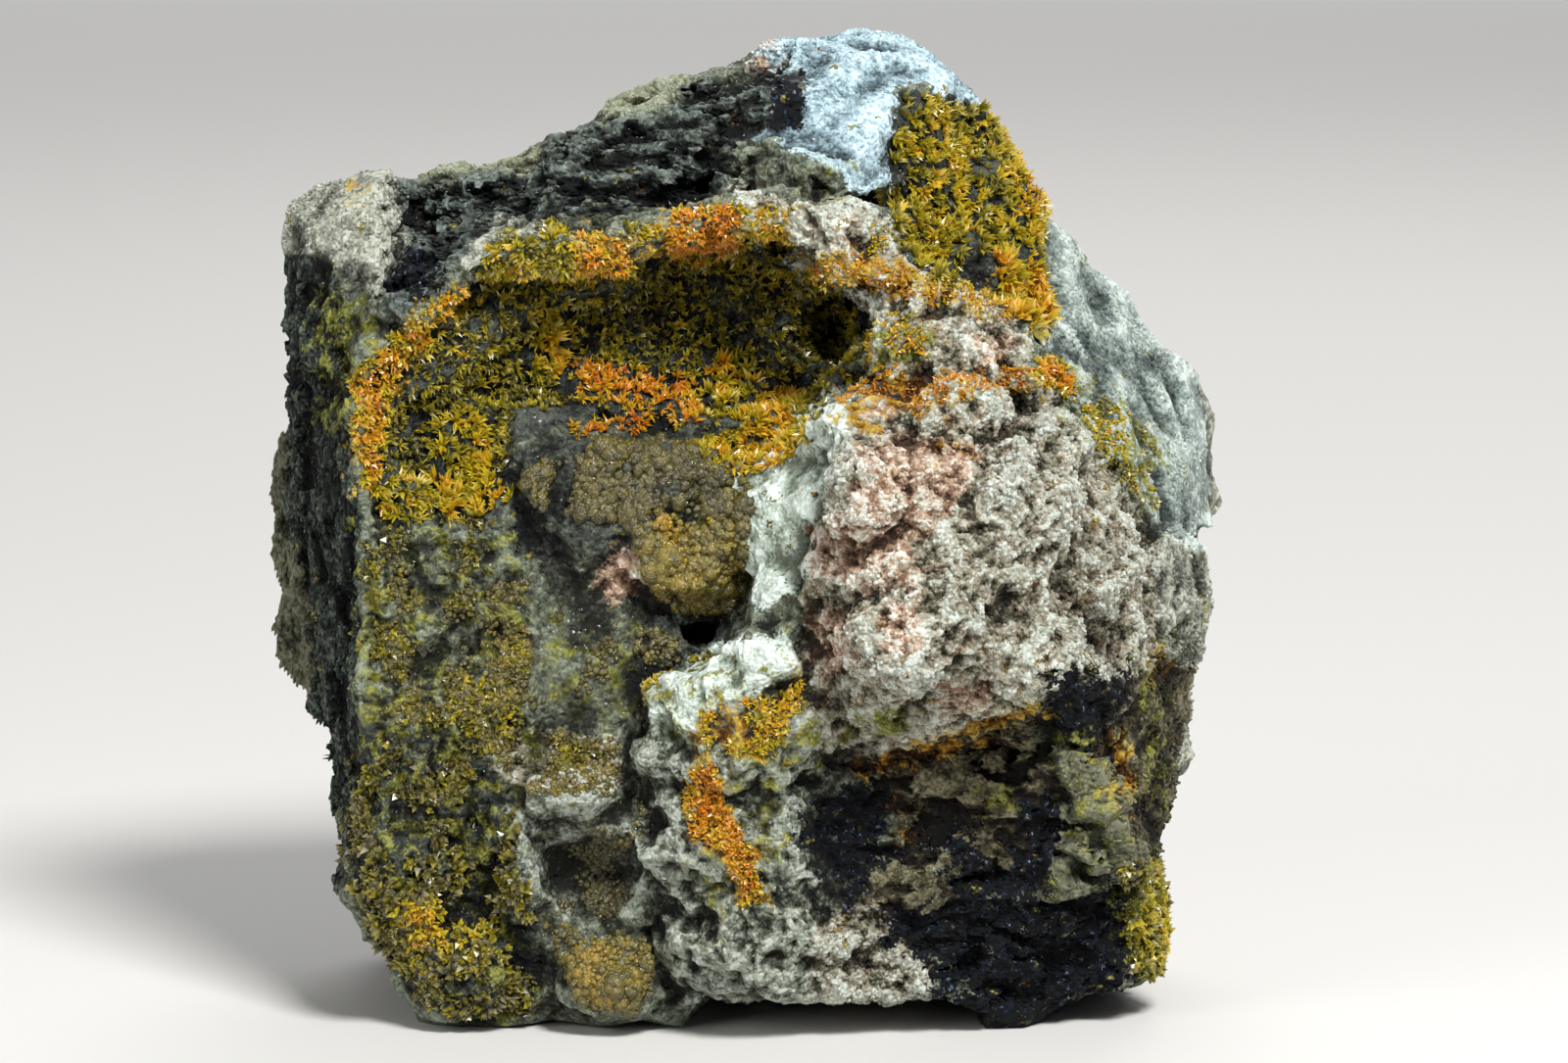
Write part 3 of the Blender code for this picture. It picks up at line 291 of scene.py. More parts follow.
# Druses. A bed is its coverage, the size of a crystal in millimetres, its hue (0 olive, 0.5 golden,
# 1 orange) and its outline. Most is the most triangles that the piece may have, depth how far behind
# AIM's plane it grows, blades how many a spray has, and stubby how many times wider than a plain
# blade each is.
POINTED = {
    "hollow_floor_sprays": dict(
        replaces="hollow_crystals", slot="golden_crystal", most=160000, depth=20, beds=(
            (0.66, 0.9, 0.2, "-26,47 -20.6,53.6 -12.6,55.4 -3,58 4,57.6 9.4,53 9,48 4.6,44.6 -2.6,45 "
             "-12,46.4 -16.6,43.8 -18,38.4 -26.6,38.4"),
            (0.9, 0.95, 0.3, "-25,49.6 -20,54.4 -12.6,55.6 -12.4,49.4 -18,48 -24,47"),
            (1, 1.3, 0.4, "-23.4,46 -20.4,46.6 -18,43 -18.6,40.6 -22.4,41.6"),
            (1, 1.4, 0.46, "-23.6,41 -19,41.8 -16.6,39.6 -19.4,37.6 -22.6,38"),
            (0.95, 1.2, 0.36, "-27.2,40.6 -24.4,41.2 -22.8,39.6 -23.4,37.6 -27,37.6"),
            (1, 1.7, 0.54, "-15.6,50.6 -13.6,51.6 -12.2,49.6 -13.6,47.6 -15.6,48.6"),
            (1, 1, 0.76, "-12.8,50 -9,49.4 -5.4,48.8 -3,47.8 -2.6,45 -4.6,44.6 -7,46 -10.2,46.2 "
             "-12.6,47.2"),
            (1, 1.5, 0.62, "-2.6,49 -0.8,50.2 0.8,48.6 0.4,46.4 -2,46"),
            (0.9, 1.3, 0.52, "-4.4,43 -1,44.6 1,46.6 3.4,48 5,46.8 4,45 5.6,43.8 3,41.6 1,41 -2.4,41.4"),
            (0.95, 0.9, 0.9, "-13,44.8 -9.6,45.4 -7,46 -6.8,44.6 -9,43.8 -12.6,43.6"),
        ),
    ),
    "hollow_rim_sprays": dict(
        replaces="hollow_crystals", slot="orange_crystal", most=90000, blades=6, stubby=1.5, beds=(
            (0.8, 0.8, 0.62, "-28.8,48.6 -27,50.4 -22.6,54.2 -20.8,55.8 -19.6,54.2 -22.4,50.6 -25.6,47.6 "
             "-26.2,44 -26.4,39.8 -28.2,39.8 -28.6,44"),
            (0.75, 1, 0.28, "-20,57 -17,59 -12.8,60 -12.4,55.6 -19,54.6"),
            (0.8, 0.8, 0.74, "-12.8,59 -9,59 -7.6,57 -8.6,55.4 -12.6,54.8"),
            (0.7, 0.8, 0.36, "-9,59.8 -5.4,60.2 -4.6,58.6 -8,57.6"),
            (0.85, 0.75, 0.88, "-5.4,60.6 0,61.4 0.2,58 -3.4,56.4 -5.6,57.6"),
            (0.6, 0.7, 0.5, "0,61.2 4,61 4.2,58 1,57.6"),
            # on the ledge and on the knobs under the hollow
            (0.4, 0.6, 0.3, "-16,41.6 -12,44 -4,44 0.6,42 1,38 -4,38 -12,39.6"),
            (0.4, 0.7, 0.45, "-8,37.4 0.4,38 0.4,34 -4.4,33 -7.2,35"),
        ),
    ),
    "upper_right_sprays": dict(
        replaces="upper_right_crystals", slot="golden_crystal", most=90000, beds=(
            (0.9, 1.3, 0.36, "11.7,70 14.4,69.6 17.6,68.2 20,66.2 21.4,62.6 22.6,60.8 22,57.6 18.6,57.4 "
             "16.4,58 15.8,54.4 13,56.4 11.6,58 11,60.4 10.7,63 11.1,66.4"),
            (0.9, 1.1, 0.44, "17.6,68 20.4,66 22.8,61 22,58 20.6,60 19.6,63 17.4,65.6"),
            (1, 1.6, 0.54, "18.4,57.4 21.4,57.8 23.2,53 22,51.2 20.4,52.6 18.2,54"),
        ),
    ),
    "lower_left_sprays": dict(
        replaces="lower_left_crystals", slot="olive_crystal", most=130000, blades=5, stubby=2.3, beds=(
            (0.42, 1, 0.02, "-28.8,10.4 -29.4,14 -28.4,18.6 -24.6,22.6 -19,20 -16.6,16.6 -15.6,10 -14.2,5 "
             "-15.8,0.6 -20,-0.6 -24.6,3 -28,8"),
            (1, 0.8, 0.42, "-25.6,9.8 -22,9.8 -21.2,6 -24,5.4"),
            (0.8, 0.8, 0.25, "-22,8 -18,9 -17,6 -20,4"),
        ),
    ),
    "left_face_sprays": dict(
        replaces="left_face_crystals", slot="olive_crystal", most=60000, blades=4, stubby=2.2, beds=(
            (0.6, 0.7, 0.2, "-28.6,37.8 -27,37.8 -26,32 -27,24 -28.6,23"),
            (0.6, 0.7, 0.24, "-24,38 -17,38 -18,35.6 -22,36.4"),
            (0.32, 0.75, 0.08, "-28.6,22.4 -28.6,38.4 -17,38 -16.6,33 -15.4,28 -16.4,23 -9,20.4 -15,18.6 "
             "-20,20"),
        ),
    ),
    "middle_vein_sprays": dict(
        replaces="middle_vein_crystals", slot="orange_crystal", most=60000, blades=5, stubby=1.8, beds=(
            (0.9, 0.6, 0.74, "-3.8,19.8 -1.6,20 -0.8,16.8 1.4,12.8 1.6,9.4 0,9.2 -1.6,13 -3.8,14.2 "
             "-4.2,17"),
            (0.6, 0.6, 0.5, "-3.2,23.6 -1,25 2.6,24.8 4.6,27.2 5,24.6 2.4,20 -1,20.2 -3.2,21"),
            (0.4, 0.5, 0.34, "-7.6,25.6 -4,28 0.6,27.8 -0.4,26.6 -4,26.4 -7,23.6"),
        ),
    ),
    "right_flank_sprays": dict(
        replaces="right_flank_crystals", slot="olive_crystal", most=30000, blades=5,
        stubby=1.8, depth=20, beds=(
            (0.4, 0.5, 0.34, "23.2,48.4 25,47.8 28,46.4 31,43.6 32,40.6 31,38 28.8,39.6 26.6,42.4 24,46"),
            (1, 0.8, 0.85, "21.6,49.6 23,50 24.8,48.4 24.4,46.8 22,48"),
        ),
    ),
    "right_edge_sprays": dict(
        replaces="right_edge_crystals", slot="golden_crystal", most=35000, blades=5,
        stubby=2.2, depth=20, beds=(
            (0.9, 0.8, 0.22, "28,12.2 31.8,12.8 32.4,8 31,3.8 28.6,4.4 28,8"),
        ),
    ),
    "ridge_sprays": dict(
        replaces="ridge_crystals", slot="orange_crystal", most=70000, blades=5, stubby=1.6, beds=(
            (0.62, 0.5, 0.62, "4,57.8 6,57.8 11,57.8 15,56 20,54.2 21.4,52.4 16,52.8 11,54.2 7.6,54.8 "
             "5,55"),
            (0.45, 0.5, 0.8, "6.6,46.8 10,49 14.4,49.2 20,49.4 22,49.4 22,47.6 16,46.4 10.6,44 7,43.8"),
            (0.7, 0.5, 0.45, "9.2,59.6 11.4,59.8 11.2,57.4 9.4,57.2"),
            (0.6, 0.6, 0.6, "9.2,52 12,53.4 15,50.6 12,47.8 9.2,48.8"),
        ),
    ),
}

# Knobs grown together: a bed is its coverage, the largest radius in millimetres, its hue and outline.
KNOBBLY = {
    # The centre's first two beds keep lower hues, so darker knobs: partly painted shade, for the shade
    # over this place.
    "centre_beads": dict(
        replaces="centre_botryoids", slot="honey_crystal", most=110000, beds=(
            (0.56, 0.6, 0.18, "-16,41.6 -12,43.6 -4,43.6 0.6,42 1,38 -4,37 -8,37.4 -12,38 -16,38.6"),
            (0.8, 0.62, 0.46, "-8,37.4 0.4,38 0.4,33 -1,31 -4.4,30.8 -6.6,32 -7.2,35"),
            (1, 0.5, 0.95, "-6.4,38 -4.8,38.4 -4.6,36.6 -6,36.4"),
            (0.6, 0.36, 0.2, "-8.6,30 -4.4,29.6 -4,27.4 -7,26.4 -9.4,27.4"),
            (0.5, 0.3, 0.35, "-21,33.4 -15.6,33.4 -15,24 -20,23"),
            (0.3, 0.28, 0.2, "-15,33 -8,31 -8,23 -15,23"),
            (0.4, 0.3, 0.24, "-26,36 -20,36 -19,24 -26,22"),
            (0.6, 0.28, 0.4, "-20,23 -9,21.6 -9,17 -17,17.6"),
        ),
    ),
    "base_beads": dict(
        replaces="base_botryoids", slot="honey_crystal", most=70000, beds=(
            (1, 0.52, 0.5, "-13.6,5.6 -10,7.6 -6.6,6.8 -6.2,3.4 -8,1 -12,2"),
            (0.9, 0.36, 0.45, "-14.8,8 -12.6,8.6 -11.4,6.6 -13.6,6"),
            (0.4, 0.32, 0.1, "-15,15 -9,17 -6.6,12 -9,8 -14.6,8.6"),
            (0.3, 0.36, 0.24, "-28,19 -17,18 -15,6 -18,1 -23,3 -28,9"),
            (0.6, 0.36, 0.2, "-10,17.4 -7,17 -6.4,13.6 -9.4,15"),
        ),
    ),
}


def over(cover, grain, *zones):
    """Beds over the outlines of these zones: coverage and width of a grain in millimetres; no hue."""
    return [(cover, grain, 0, outline) for zone in zones for outline in ZONES[zone]]


# Broken grains and flakes of the stones themselves: form is their width each way as a share of their
# size, and turn how far round each axis they may lie, in radians.
ANY_WAY = (6.28, 6.28, 6.28)
GRAINS = {
    "chalky_grains": dict(most=150000, form=(1, 1, 1), turn=ANY_WAY, beds=over(0.62, 0.5, "chalky")),
    "sugary_grains": dict(
        most=70000, form=(1, 1, 1), turn=ANY_WAY, beds=over(0.5, 0.42, "white", "milky", "pale"),
    ),
    "gneiss_flakes": dict(
        most=45000, depth=22, form=(0.5, 0.8, 1.6), turn=(0.4, 0.4, 0.6),
        beds=over(0.6, 0.6, "dark_flank"),
    ),
    "slate_flakes": dict(
        most=75000, depth=22, form=(1.4, 1.2, 0.55), turn=(0.6, 0.6, 3),
        beds=over(0.6, 0.7, "dark_band") + over(0.6, 0.55, "brown") + over(0.7, 0.5, "navy"),
    ),
}


def linear(code):
    """An sRGB hex colour as linear red, green, blue and alpha."""
    levels = [int(code[i:i + 2], 16) / 255 for i in (1, 3, 5)]
    return (*[c / 12.92 if c <= 0.04045 else ((c + 0.055) / 1.055) ** 2.4 for c in levels], 1)


# ---- Settings ----

def length(name, description, mm):
    return FloatProperty(
        name=name, description=description, default=mm * MM, unit="LENGTH", subtype="DISTANCE",
        precision=5,
    )


def number(name, description, default):
    kind = IntProperty if isinstance(default, int) else FloatProperty
    return kind(name=name, description=description, default=default, min=0)


def colour(name, description, code):
    return FloatVectorProperty(
        name=name, description=description, default=linear(code), subtype="COLOR", size=4, min=0, max=1,
    )


class RockSettings(bpy.types.PropertyGroup):
    """Relief of the rock and how finely it is meshed"""
    grain: length("Mesh grain", "Width of the faces that the rock is remeshed to", 0.3)
    lumps: length("Lumps", "Height of the broad lumps", 0.3)
    grit: length("Grit", "Height of the grit between them", 0.2)
    pores: length("Pores", "Depth of the pores in the spongy zones", 0.25)
    steps: length("Steps", "Height of the cleaved steps", 0.65)
    prow: length("Prow", "How far the prow at the lower right stands out", 1.2)
    far: number("Far triangles", "Triangles kept on the far side", 80000)
    triangles: number("Triangles", "Most triangles in the rock", 196000)


class CrystalSettings(bpy.types.PropertyGroup):
    """Sprays of pointed crystals"""
    sprays: number("Sprays", "Most sprays on a square millimetre", 3.6)
    blades: number("Blades", "Blades in a spray", 12)
    width: number("Width", "Width of a blade as a share of its length", 0.3)
    thickness: number("Thickness", "Thickness as a share of its length", 0.2)
    spread: number("Spread", "How far a spray fans out", 1.5)
    depth: number("Depth", "How far blades leave the plane of the fan", 0.9)


class GrainSettings(bpy.types.PropertyGroup):
    """Broken grains of the stones"""
    grains: number("Grains", "Most grains on a grain's own square", 1.6)


class KnobSettings(bpy.types.PropertyGroup):
    """Rounded knobs of crystal"""
    knobs: number("Knobs", "Most knobs on a square millimetre", 16.0)
    smallest: number("Smallest", "Smallest knob as a share of the largest", 0.3)


class ColourSettings(bpy.types.PropertyGroup):
    """Colours of the crystals and the studio"""
    olive: colour("Olive", "Thin young sprays", "#80780E")
    golden: colour("Golden", "Thick golden sprays", "#DDA80A")
    orange: colour("Orange", "Orange bands and rims", "#E28808")
    # Colour of the painted highlight mixed into the crystals' points.
    tips: colour("Tips", "Clear points of the crystals", "#F6DC50")
    floor: colour("Floor", "Studio floor", "#D8D6D2")
    air: colour("Air", "Faint light from all round", "#E6EAF0")


SETTINGS = {
    "specimen_rock": RockSettings,
    "specimen_grains": GrainSettings,
    "specimen_crystals": CrystalSettings,
    "specimen_knobs": KnobSettings,
    "specimen_colours": ColourSettings,
}


# ---- Nodes ----

MATH = "ShaderNodeMath"
VECTOR = "ShaderNodeVectorMath"
RANGE = "ShaderNodeMapRange"
RAMP = "ShaderNodeValToRGB"
MIX = "ShaderNodeMix"
SHADER = "ShaderNodeBsdfPrincipled"
NOISE = "ShaderNodeTexNoise"
CELLS = "ShaderNodeTexVoronoi"
PAINTED = "ShaderNodeAttribute"
READ = "GeometryNodeInputNamedAttribute"
KEEP = "GeometryNodeStoreNamedAttribute"
MOVE = "GeometryNodeSetPosition"
RANDOM = "FunctionNodeRandomValue"


def add(tree, kind, *values, out=0, stops=(), **settings):
    """Adds a node with its settings, feeds its inputs with sockets or plain values, gives one output.

    Values feed the inputs in order, None leaves one as it is, and a dict feeds them by name or number.
    Stops are a colour ramp's places and colours, from the lowest up.
    """
    node = tree.nodes.new(kind)
    for name, value in settings.items():
        setattr(node, name, value)
    fed = {}
    for place, value in enumerate(values):
        fed.update(value if isinstance(value, dict) else {place: value})
    for key, value in fed.items():
        if isinstance(value, bpy.types.NodeSocket):
            tree.links.new(value, node.inputs[key])
        elif value is not None:
            node.inputs[key].default_value = value
    if stops:
        ramp = node.color_ramp.elements
        ramp.remove(ramp[1])
        for place, (position, tint) in enumerate(stops):
            element = ramp.new(position) if place else ramp[0]
            element.position = position
            element.color = linear(tint) if isinstance(tint, str) else tint
    return node.outputs[out] if node.outputs else node


def per_mm(mm):
    """Texture scale at which one feature is this many millimetres wide."""
    return 1 / (mm * MM)


def pattern(tree, here, texture, grain, out, **settings):
    """A texture whose features are as many millimetres wide, each way, as grain says."""
    scaled = add(tree, VECTOR, here, [per_mm(g) for g in grain], operation="MULTIPLY")
    return add(tree, texture, {"Vector": scaled, "Scale": 1.0}, out=out, **settings)


# ---- Places on the rock ----

def face_frame(points):
    """Points of the row frame, in metres, as right, away and up in the face's frame, in millimetres."""
    shifted = points / MM - np.array(FACE_ORIGIN)
    turn = np.array(Matrix.Rotation(LEAN, 3, "X"))
    return shifted @ turn.T


def sighted(points):
    """Right and up of the points as the camera sees them on the face plane, and their depth behind it."""
    face = face_frame(points)
    shrink = SIGHT_DISTANCE / (SIGHT_DISTANCE + face[:, 1])
    right = AIM[0] + (face[:, 0] - AIM[0]) * shrink
    up = AIM[2] + (face[:, 2] - AIM[2]) * shrink
    return right, up, face[:, 1]


def depth_inside(outline, right, up):
    """How far each point is inside the outline, in millimetres, and below zero outside."""
    corners = [tuple(map(float, corner.split(","))) for corner in outline.split()]
    nearest = np.full(len(right), np.inf)
    crossings = np.zeros(len(right), bool)
    for (x0, z0), (x1, z1) in zip(corners, corners[1:] + corners[:1]):
        dx, dz = x1 - x0, z1 - z0
        along = np.clip(((right - x0) * dx + (up - z0) * dz) / (dx * dx + dz * dz), 0, 1)
        nearest = np.minimum(nearest, np.hypot(right - x0 - along * dx, up - z0 - along * dz))
        if dz:
            crossings ^= ((z0 > up) != (z1 > up)) & (right < x0 + dx * (up - z0) / dz)
    return np.where(crossings, nearest, -nearest)


def share(outline, place, depth=FRONT, edge=EDGE):
    """1 well inside the outline, 0.5 on it, 0 well outside or too far behind the face plane."""
    right, up, away = place
    inside = np.clip(0.5 + depth_inside(outline, right, up) / (2 * edge), 0, 1)
    return inside * np.clip((depth + DEPTH_BLEND - away) / DEPTH_BLEND, 0, 1)


def store(mesh, name, values):
    """Keeps one number for each point of the mesh, for the trees and materials to read."""
    attribute = mesh.attributes.new(name, "FLOAT", "POINT")
    attribute.data.foreach_set("value", np.asarray(values, np.float32))


def coordinates(mesh):
    """The mesh's points, in metres."""
    points = np.empty(len(mesh.vertices) * 3, np.float32)
    mesh.vertices.foreach_get("co", points)
    return points.reshape(-1, 3).astype(float)


# ---- Objects ----

def new_object(name, data):
    """An object in the scene, at the origin, for a mesh, a light or a camera."""
    made = bpy.data.objects.new(name, data)
    bpy.context.scene.collection.objects.link(made)
    return made


def merged_copy(node, name):
    """A CAD node's mesh, copied, with its loose triangles joined."""
    bm = bmesh.new()
    bm.from_mesh(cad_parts[node].data)
    bmesh.ops.remove_doubles(bm, verts=bm.verts, dist=0.001 * MM)
    mesh = bpy.data.meshes.new(name)
    bm.to_mesh(mesh)
    bm.free()
    return new_object(name, mesh)


def applied(obj, name):
    """The object with its modifiers applied, as a new object in place of it."""
    graph = bpy.context.evaluated_depsgraph_get()
    mesh = bpy.data.meshes.new_from_object(obj.evaluated_get(graph))
    bpy.data.objects.remove(obj)
    mesh.name = name
    return new_object(name, mesh)


def triangle_count(mesh):
    return sum(len(p.vertices) - 2 for p in mesh.polygons)


def kept_in_box(mesh):
    """No point leaves the CAD model's box."""
    points = np.clip(coordinates(mesh), CAD_BOX[0], CAD_BOX[1])
    mesh.vertices.foreach_set("co", points.astype(np.float32).ravel())
    mesh.update()


def finished(obj, material, replaced=None):
    """Gives the piece its material, hides the CAD node that it stands for and puts it under its body."""
    obj.data.materials.clear()
    obj.data.materials.append(material)
    if replaced:
        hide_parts(replaced)
    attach(obj, "root")


# ---- Geometry Nodes ----

def new_tree(name, inputs):
    """A Geometry Nodes tree with named inputs; gives the tree, its inputs and its result's socket."""
    tree = bpy.data.node_groups.new(name, "GeometryNodeTree")
    tree.interface.new_socket("Geometry", in_out="INPUT", socket_type="NodeSocketGeometry")
    tree.interface.new_socket("Geometry", in_out="OUTPUT", socket_type="NodeSocketGeometry")
    for socket, kind in inputs.items():
        tree.interface.new_socket(socket, in_out="INPUT", socket_type="NodeSocket" + kind)
    given = tree.nodes.new("NodeGroupInput").outputs
    result = tree.nodes.new("NodeGroupOutput").inputs["Geometry"]
    return tree, given, result


def run_tree(obj, tree, values, name):
    """Applies the tree to the object, with its inputs set, and gives the plain mesh as a new object."""
    modifier = obj.modifiers.new(tree.name, "NODES")
    modifier.node_group = tree
    for item in tree.interface.items_tree:
        if item.in_out == "INPUT" and item.name in values:
            modifier[item.identifier] = values[item.name]
    return applied(obj, name)


def planted(tree, given, result, points, piece, turn, scale, smooth=False):
    """Puts the piece on every point, makes the copies real, shades them and gives them their material."""
    placed = add(tree, "GeometryNodeInstanceOnPoints", {
        "Points": points, "Instance": piece, "Rotation": turn, "Scale": scale,
    })
    real = add(tree, "GeometryNodeRealizeInstances", placed)
    real = add(tree, "GeometryNodeSetShadeSmooth", real, {"Shade Smooth": smooth})
    real = add(tree, "GeometryNodeSetMaterial", real, {"Material": given["Material"]})
    tree.links.new(real, result)
    return tree


# Relief of the rock: texture, its grain in millimetres, its output, its settings, the values that turn
# to -1 and to the top, that top, the tree input that sets its height, and the zone that it is kept to.
BLOCKY = {"distance": "CHEBYCHEV"}      # cells with square corners
RELIEF_LAYERS = (
    (NOISE, (3.2, 3.2, 3.2), 0, {}, (0.25, 0.75, 1), "Lumps", None),
    (NOISE, (0.8, 0.8, 0.8), 0, {}, (0.25, 0.75, 1), "Grit", None),
    (NOISE, (1.0, 1.0, 1.0), 0, {}, (0.34, 0.5, 0.3), "Pores", "porous"),
    (CELLS, (0.9, 0.9, 0.9), 0, {}, (0.8, 0.1, 0.7), "Grit", "porous"),
    (CELLS, (4, 4, 1.5), 1, BLOCKY, (0.25, 0.75, 1), "Steps", "cleaved"),
    (CELLS, (1.8, 2.4, 6.5), 1, BLOCKY, (0.25, 0.75, 0.6), "Steps", "upright"),
)
RELIEF_HEIGHTS = ("Lumps", "Grit", "Pores", "Steps", "Prow")
STRAY = (4, 3.2)                # over what width, and how far, in millimetres, the pattern's place strays
WORN = 0.6                      # how much of the lumps and grit is gone where the rock is smooth
FOOT = (0.1, 1.2)               # heights, in millimetres, between which the relief comes in


def relief_tree():
    """Moves a rock's surface in and out: lumps and grit everywhere, pores, steps and foliation by zone."""
    tree, given, result = new_tree("weathered_relief", dict.fromkeys(RELIEF_HEIGHTS, "Float"))
    here = add(tree, "GeometryNodeInputPosition")
    smooth = add(tree, READ, "smooth")
    calm = add(tree, MATH, smooth, -WORN, 1.0, operation="MULTIPLY_ADD")
    stray = add(tree, NOISE, {"Scale": per_mm(STRAY[0]), "Detail": 3.0}, out=1)
    strayed = add(tree, VECTOR, stray, [STRAY[1] * MM] * 3, here, operation="MULTIPLY_ADD")
    total = 0.0
    for texture, grain, out, settings, (low, high, top), socket, zone in RELIEF_LAYERS:
        value = pattern(tree, strayed, texture, grain, out, **settings)
        value = add(tree, RANGE, value, low, high, -1.0, float(top))
        where = add(tree, READ, zone) if zone else calm
        value = add(tree, MATH, value, where, operation="MULTIPLY")
        total = add(tree, MATH, value, given[socket], total, operation="MULTIPLY_ADD")
    raised = add(tree, READ, "raised")
    total = add(tree, MATH, raised, given["Prow"], total, operation="MULTIPLY_ADD")
    height = add(tree, "ShaderNodeSeparateXYZ", here, out=2)
    foot = add(tree, RANGE, height, FOOT[0] * MM, FOOT[1] * MM)
    total = add(tree, MATH, total, foot, operation="MULTIPLY")
    offset = add(tree, VECTOR, add(tree, "GeometryNodeInputNormal"), {3: total}, operation="SCALE")
    moved = add(tree, MOVE, given["Geometry"], {"Offset": offset})
    tree.links.new(moved, result)
    return tree


# What all that grows on a bed of rock is given.
ROOTS = {"Density": "Float", "Apart": "Float", "Seed": "Int", "Material": "Material"}
PATCH = 3                       # width, in millimetres, of the patches that crystals and grains grow in
# They grow where the patch's noise is under a limit that rises with how densely the bed is grown, and
# thin out over the MARGIN about that limit.
LEAST, RISE = 0.27, 0.5
MARGIN = (-0.02, 0.03)


def bed_points(tree, given):
    """Points scattered over the bed where crystals grow, in patches, no two too near."""
    patch = add(tree, NOISE, {"Scale": per_mm(PATCH), "Detail": 3.0})
    limit = add(tree, MATH, add(tree, READ, "growth"), RISE, LEAST, operation="MULTIPLY_ADD")
    spare = add(tree, MATH, limit, patch, operation="SUBTRACT")
    chance = add(tree, RANGE, spare, *MARGIN)
    return add(tree, "GeometryNodeDistributePointsOnFaces", given["Geometry"], {
        "Distance Min": given["Apart"], "Density Max": given["Density"],
        "Density Factor": chance, "Seed": given["Seed"],
    }, distribute_method="POISSON").node


BLADE_RISE = 0.3                # how far a blade's middle stands over its root, as a share of its length
# Least and most of what is drawn at random, by the number of the node's input.
VIGOUR = {2: 0.6, 3: 1.25}      # a spray's size, as a share of its bed's
REACH = {2: 0.55, 3: 1.1}       # a blade's length, as a share of its spray's size
BOTH_WAYS = {2: -1.0, 3: 1.0}
KNOB_FORM = {0: (0.6, 0.6, 0.6), 1: (1.2, 1.2, 1.2)}
GRAIN_FORM = {0: (0.45, 0.45, 0.45), 1: (1, 1, 1)}


def spray_tree():
    """Sprays of flat tapering blades, each fanned out from one root, over a bed of rock."""
    sizes = dict.fromkeys(("Width", "Thickness", "Spread", "Depth"), "Float")
    tree, given, result = new_tree("crystal_sprays", {**ROOTS, "Blades": "Int", **sizes})
    # One blade: three-sided, pointed at both ends, widest half way up, with its root under the rock.
    blade = add(tree, "GeometryNodeMeshUVSphere", {"Segments": 3, "Rings": 2, "Radius": 0.5})
    here = add(tree, "GeometryNodeInputPosition")
    rise = add(tree, MATH, add(tree, "ShaderNodeSeparateXYZ", here, out=2), 0.5)
    blade = add(tree, KEEP, blade, {"Name": "along", "Value": rise})
    blade = add(tree, MOVE, blade, {"Position": add(tree, VECTOR, here, (0, 0, BLADE_RISE))})

    # Each root keeps its own tone, vigour and plane of fanning; its blades share them.
    points = bed_points(tree, given)
    outward = points.outputs["Normal"]
    kept = points.outputs["Points"]
    for name, kind, out, ends in (
        ("tone", "FLOAT", 1, {2: 0.0, 3: 1.0}), ("vigour", "FLOAT", 1, VIGOUR),
        ("fan", "FLOAT_VECTOR", 0, {0: (-1, -1, -1), 1: (1, 1, 1)}), ("outward", "FLOAT_VECTOR", 0, None),
    ):
        value = outward
        if ends:
            value = add(tree, RANDOM, ends, {"Seed": len(name)}, out=out, data_type=kind)
        kept = add(tree, KEEP, kept, {"Name": name, "Value": value}, data_type=kind)
    blades = add(tree, "GeometryNodeDuplicateElements", {"Geometry": kept, "Amount": given["Blades"]},
                 domain="POINT")
    outward = add(tree, READ, "outward", data_type="FLOAT_VECTOR")
    fan = add(tree, READ, "fan", data_type="FLOAT_VECTOR")
    across = add(tree, VECTOR, outward, fan, operation="CROSS_PRODUCT")
    across = add(tree, VECTOR, across, operation="NORMALIZE")
    aside = add(tree, VECTOR, outward, across, operation="CROSS_PRODUCT")
    heading = outward
    for seed, direction, socket in ((4, across, "Spread"), (5, aside, "Depth")):
        lean = add(tree, RANDOM, BOTH_WAYS, {"Seed": seed}, out=1)
        lean = add(tree, MATH, lean, given[socket], operation="MULTIPLY")
        lean = add(tree, VECTOR, direction, {3: lean}, operation="SCALE")
        heading = add(tree, VECTOR, heading, lean)
    upright = add(tree, "FunctionNodeAlignRotationToVector", {"Vector": heading}, axis="Z")
    turned = add(tree, "FunctionNodeAlignRotationToVector", {"Rotation": upright, "Vector": across},
                 axis="X", pivot_axis="Z")
    size = add(tree, MATH, add(tree, READ, "size"), add(tree, READ, "vigour"), operation="MULTIPLY")
    reach = add(tree, RANDOM, REACH, {"Seed": 6}, out=1)
    size = add(tree, MATH, size, reach, operation="MULTIPLY")
    shape = add(tree, "ShaderNodeCombineXYZ", given["Width"], given["Thickness"], 1.0)
    scale = add(tree, VECTOR, shape, {3: size}, operation="SCALE")
    return planted(tree, given, result, blades, blade, turned, scale)


SWELL = (1.5, 0.7)              # size of the knobs in the patches where they are large and small
DENTS = (1.2, -0.6)             # noise times the first plus the second is how far a knob bulges or dents
KNOB_TONE = 0.64                # a knob is as dark as a blade is at this share of its length, with the same painted shade and painted highlight
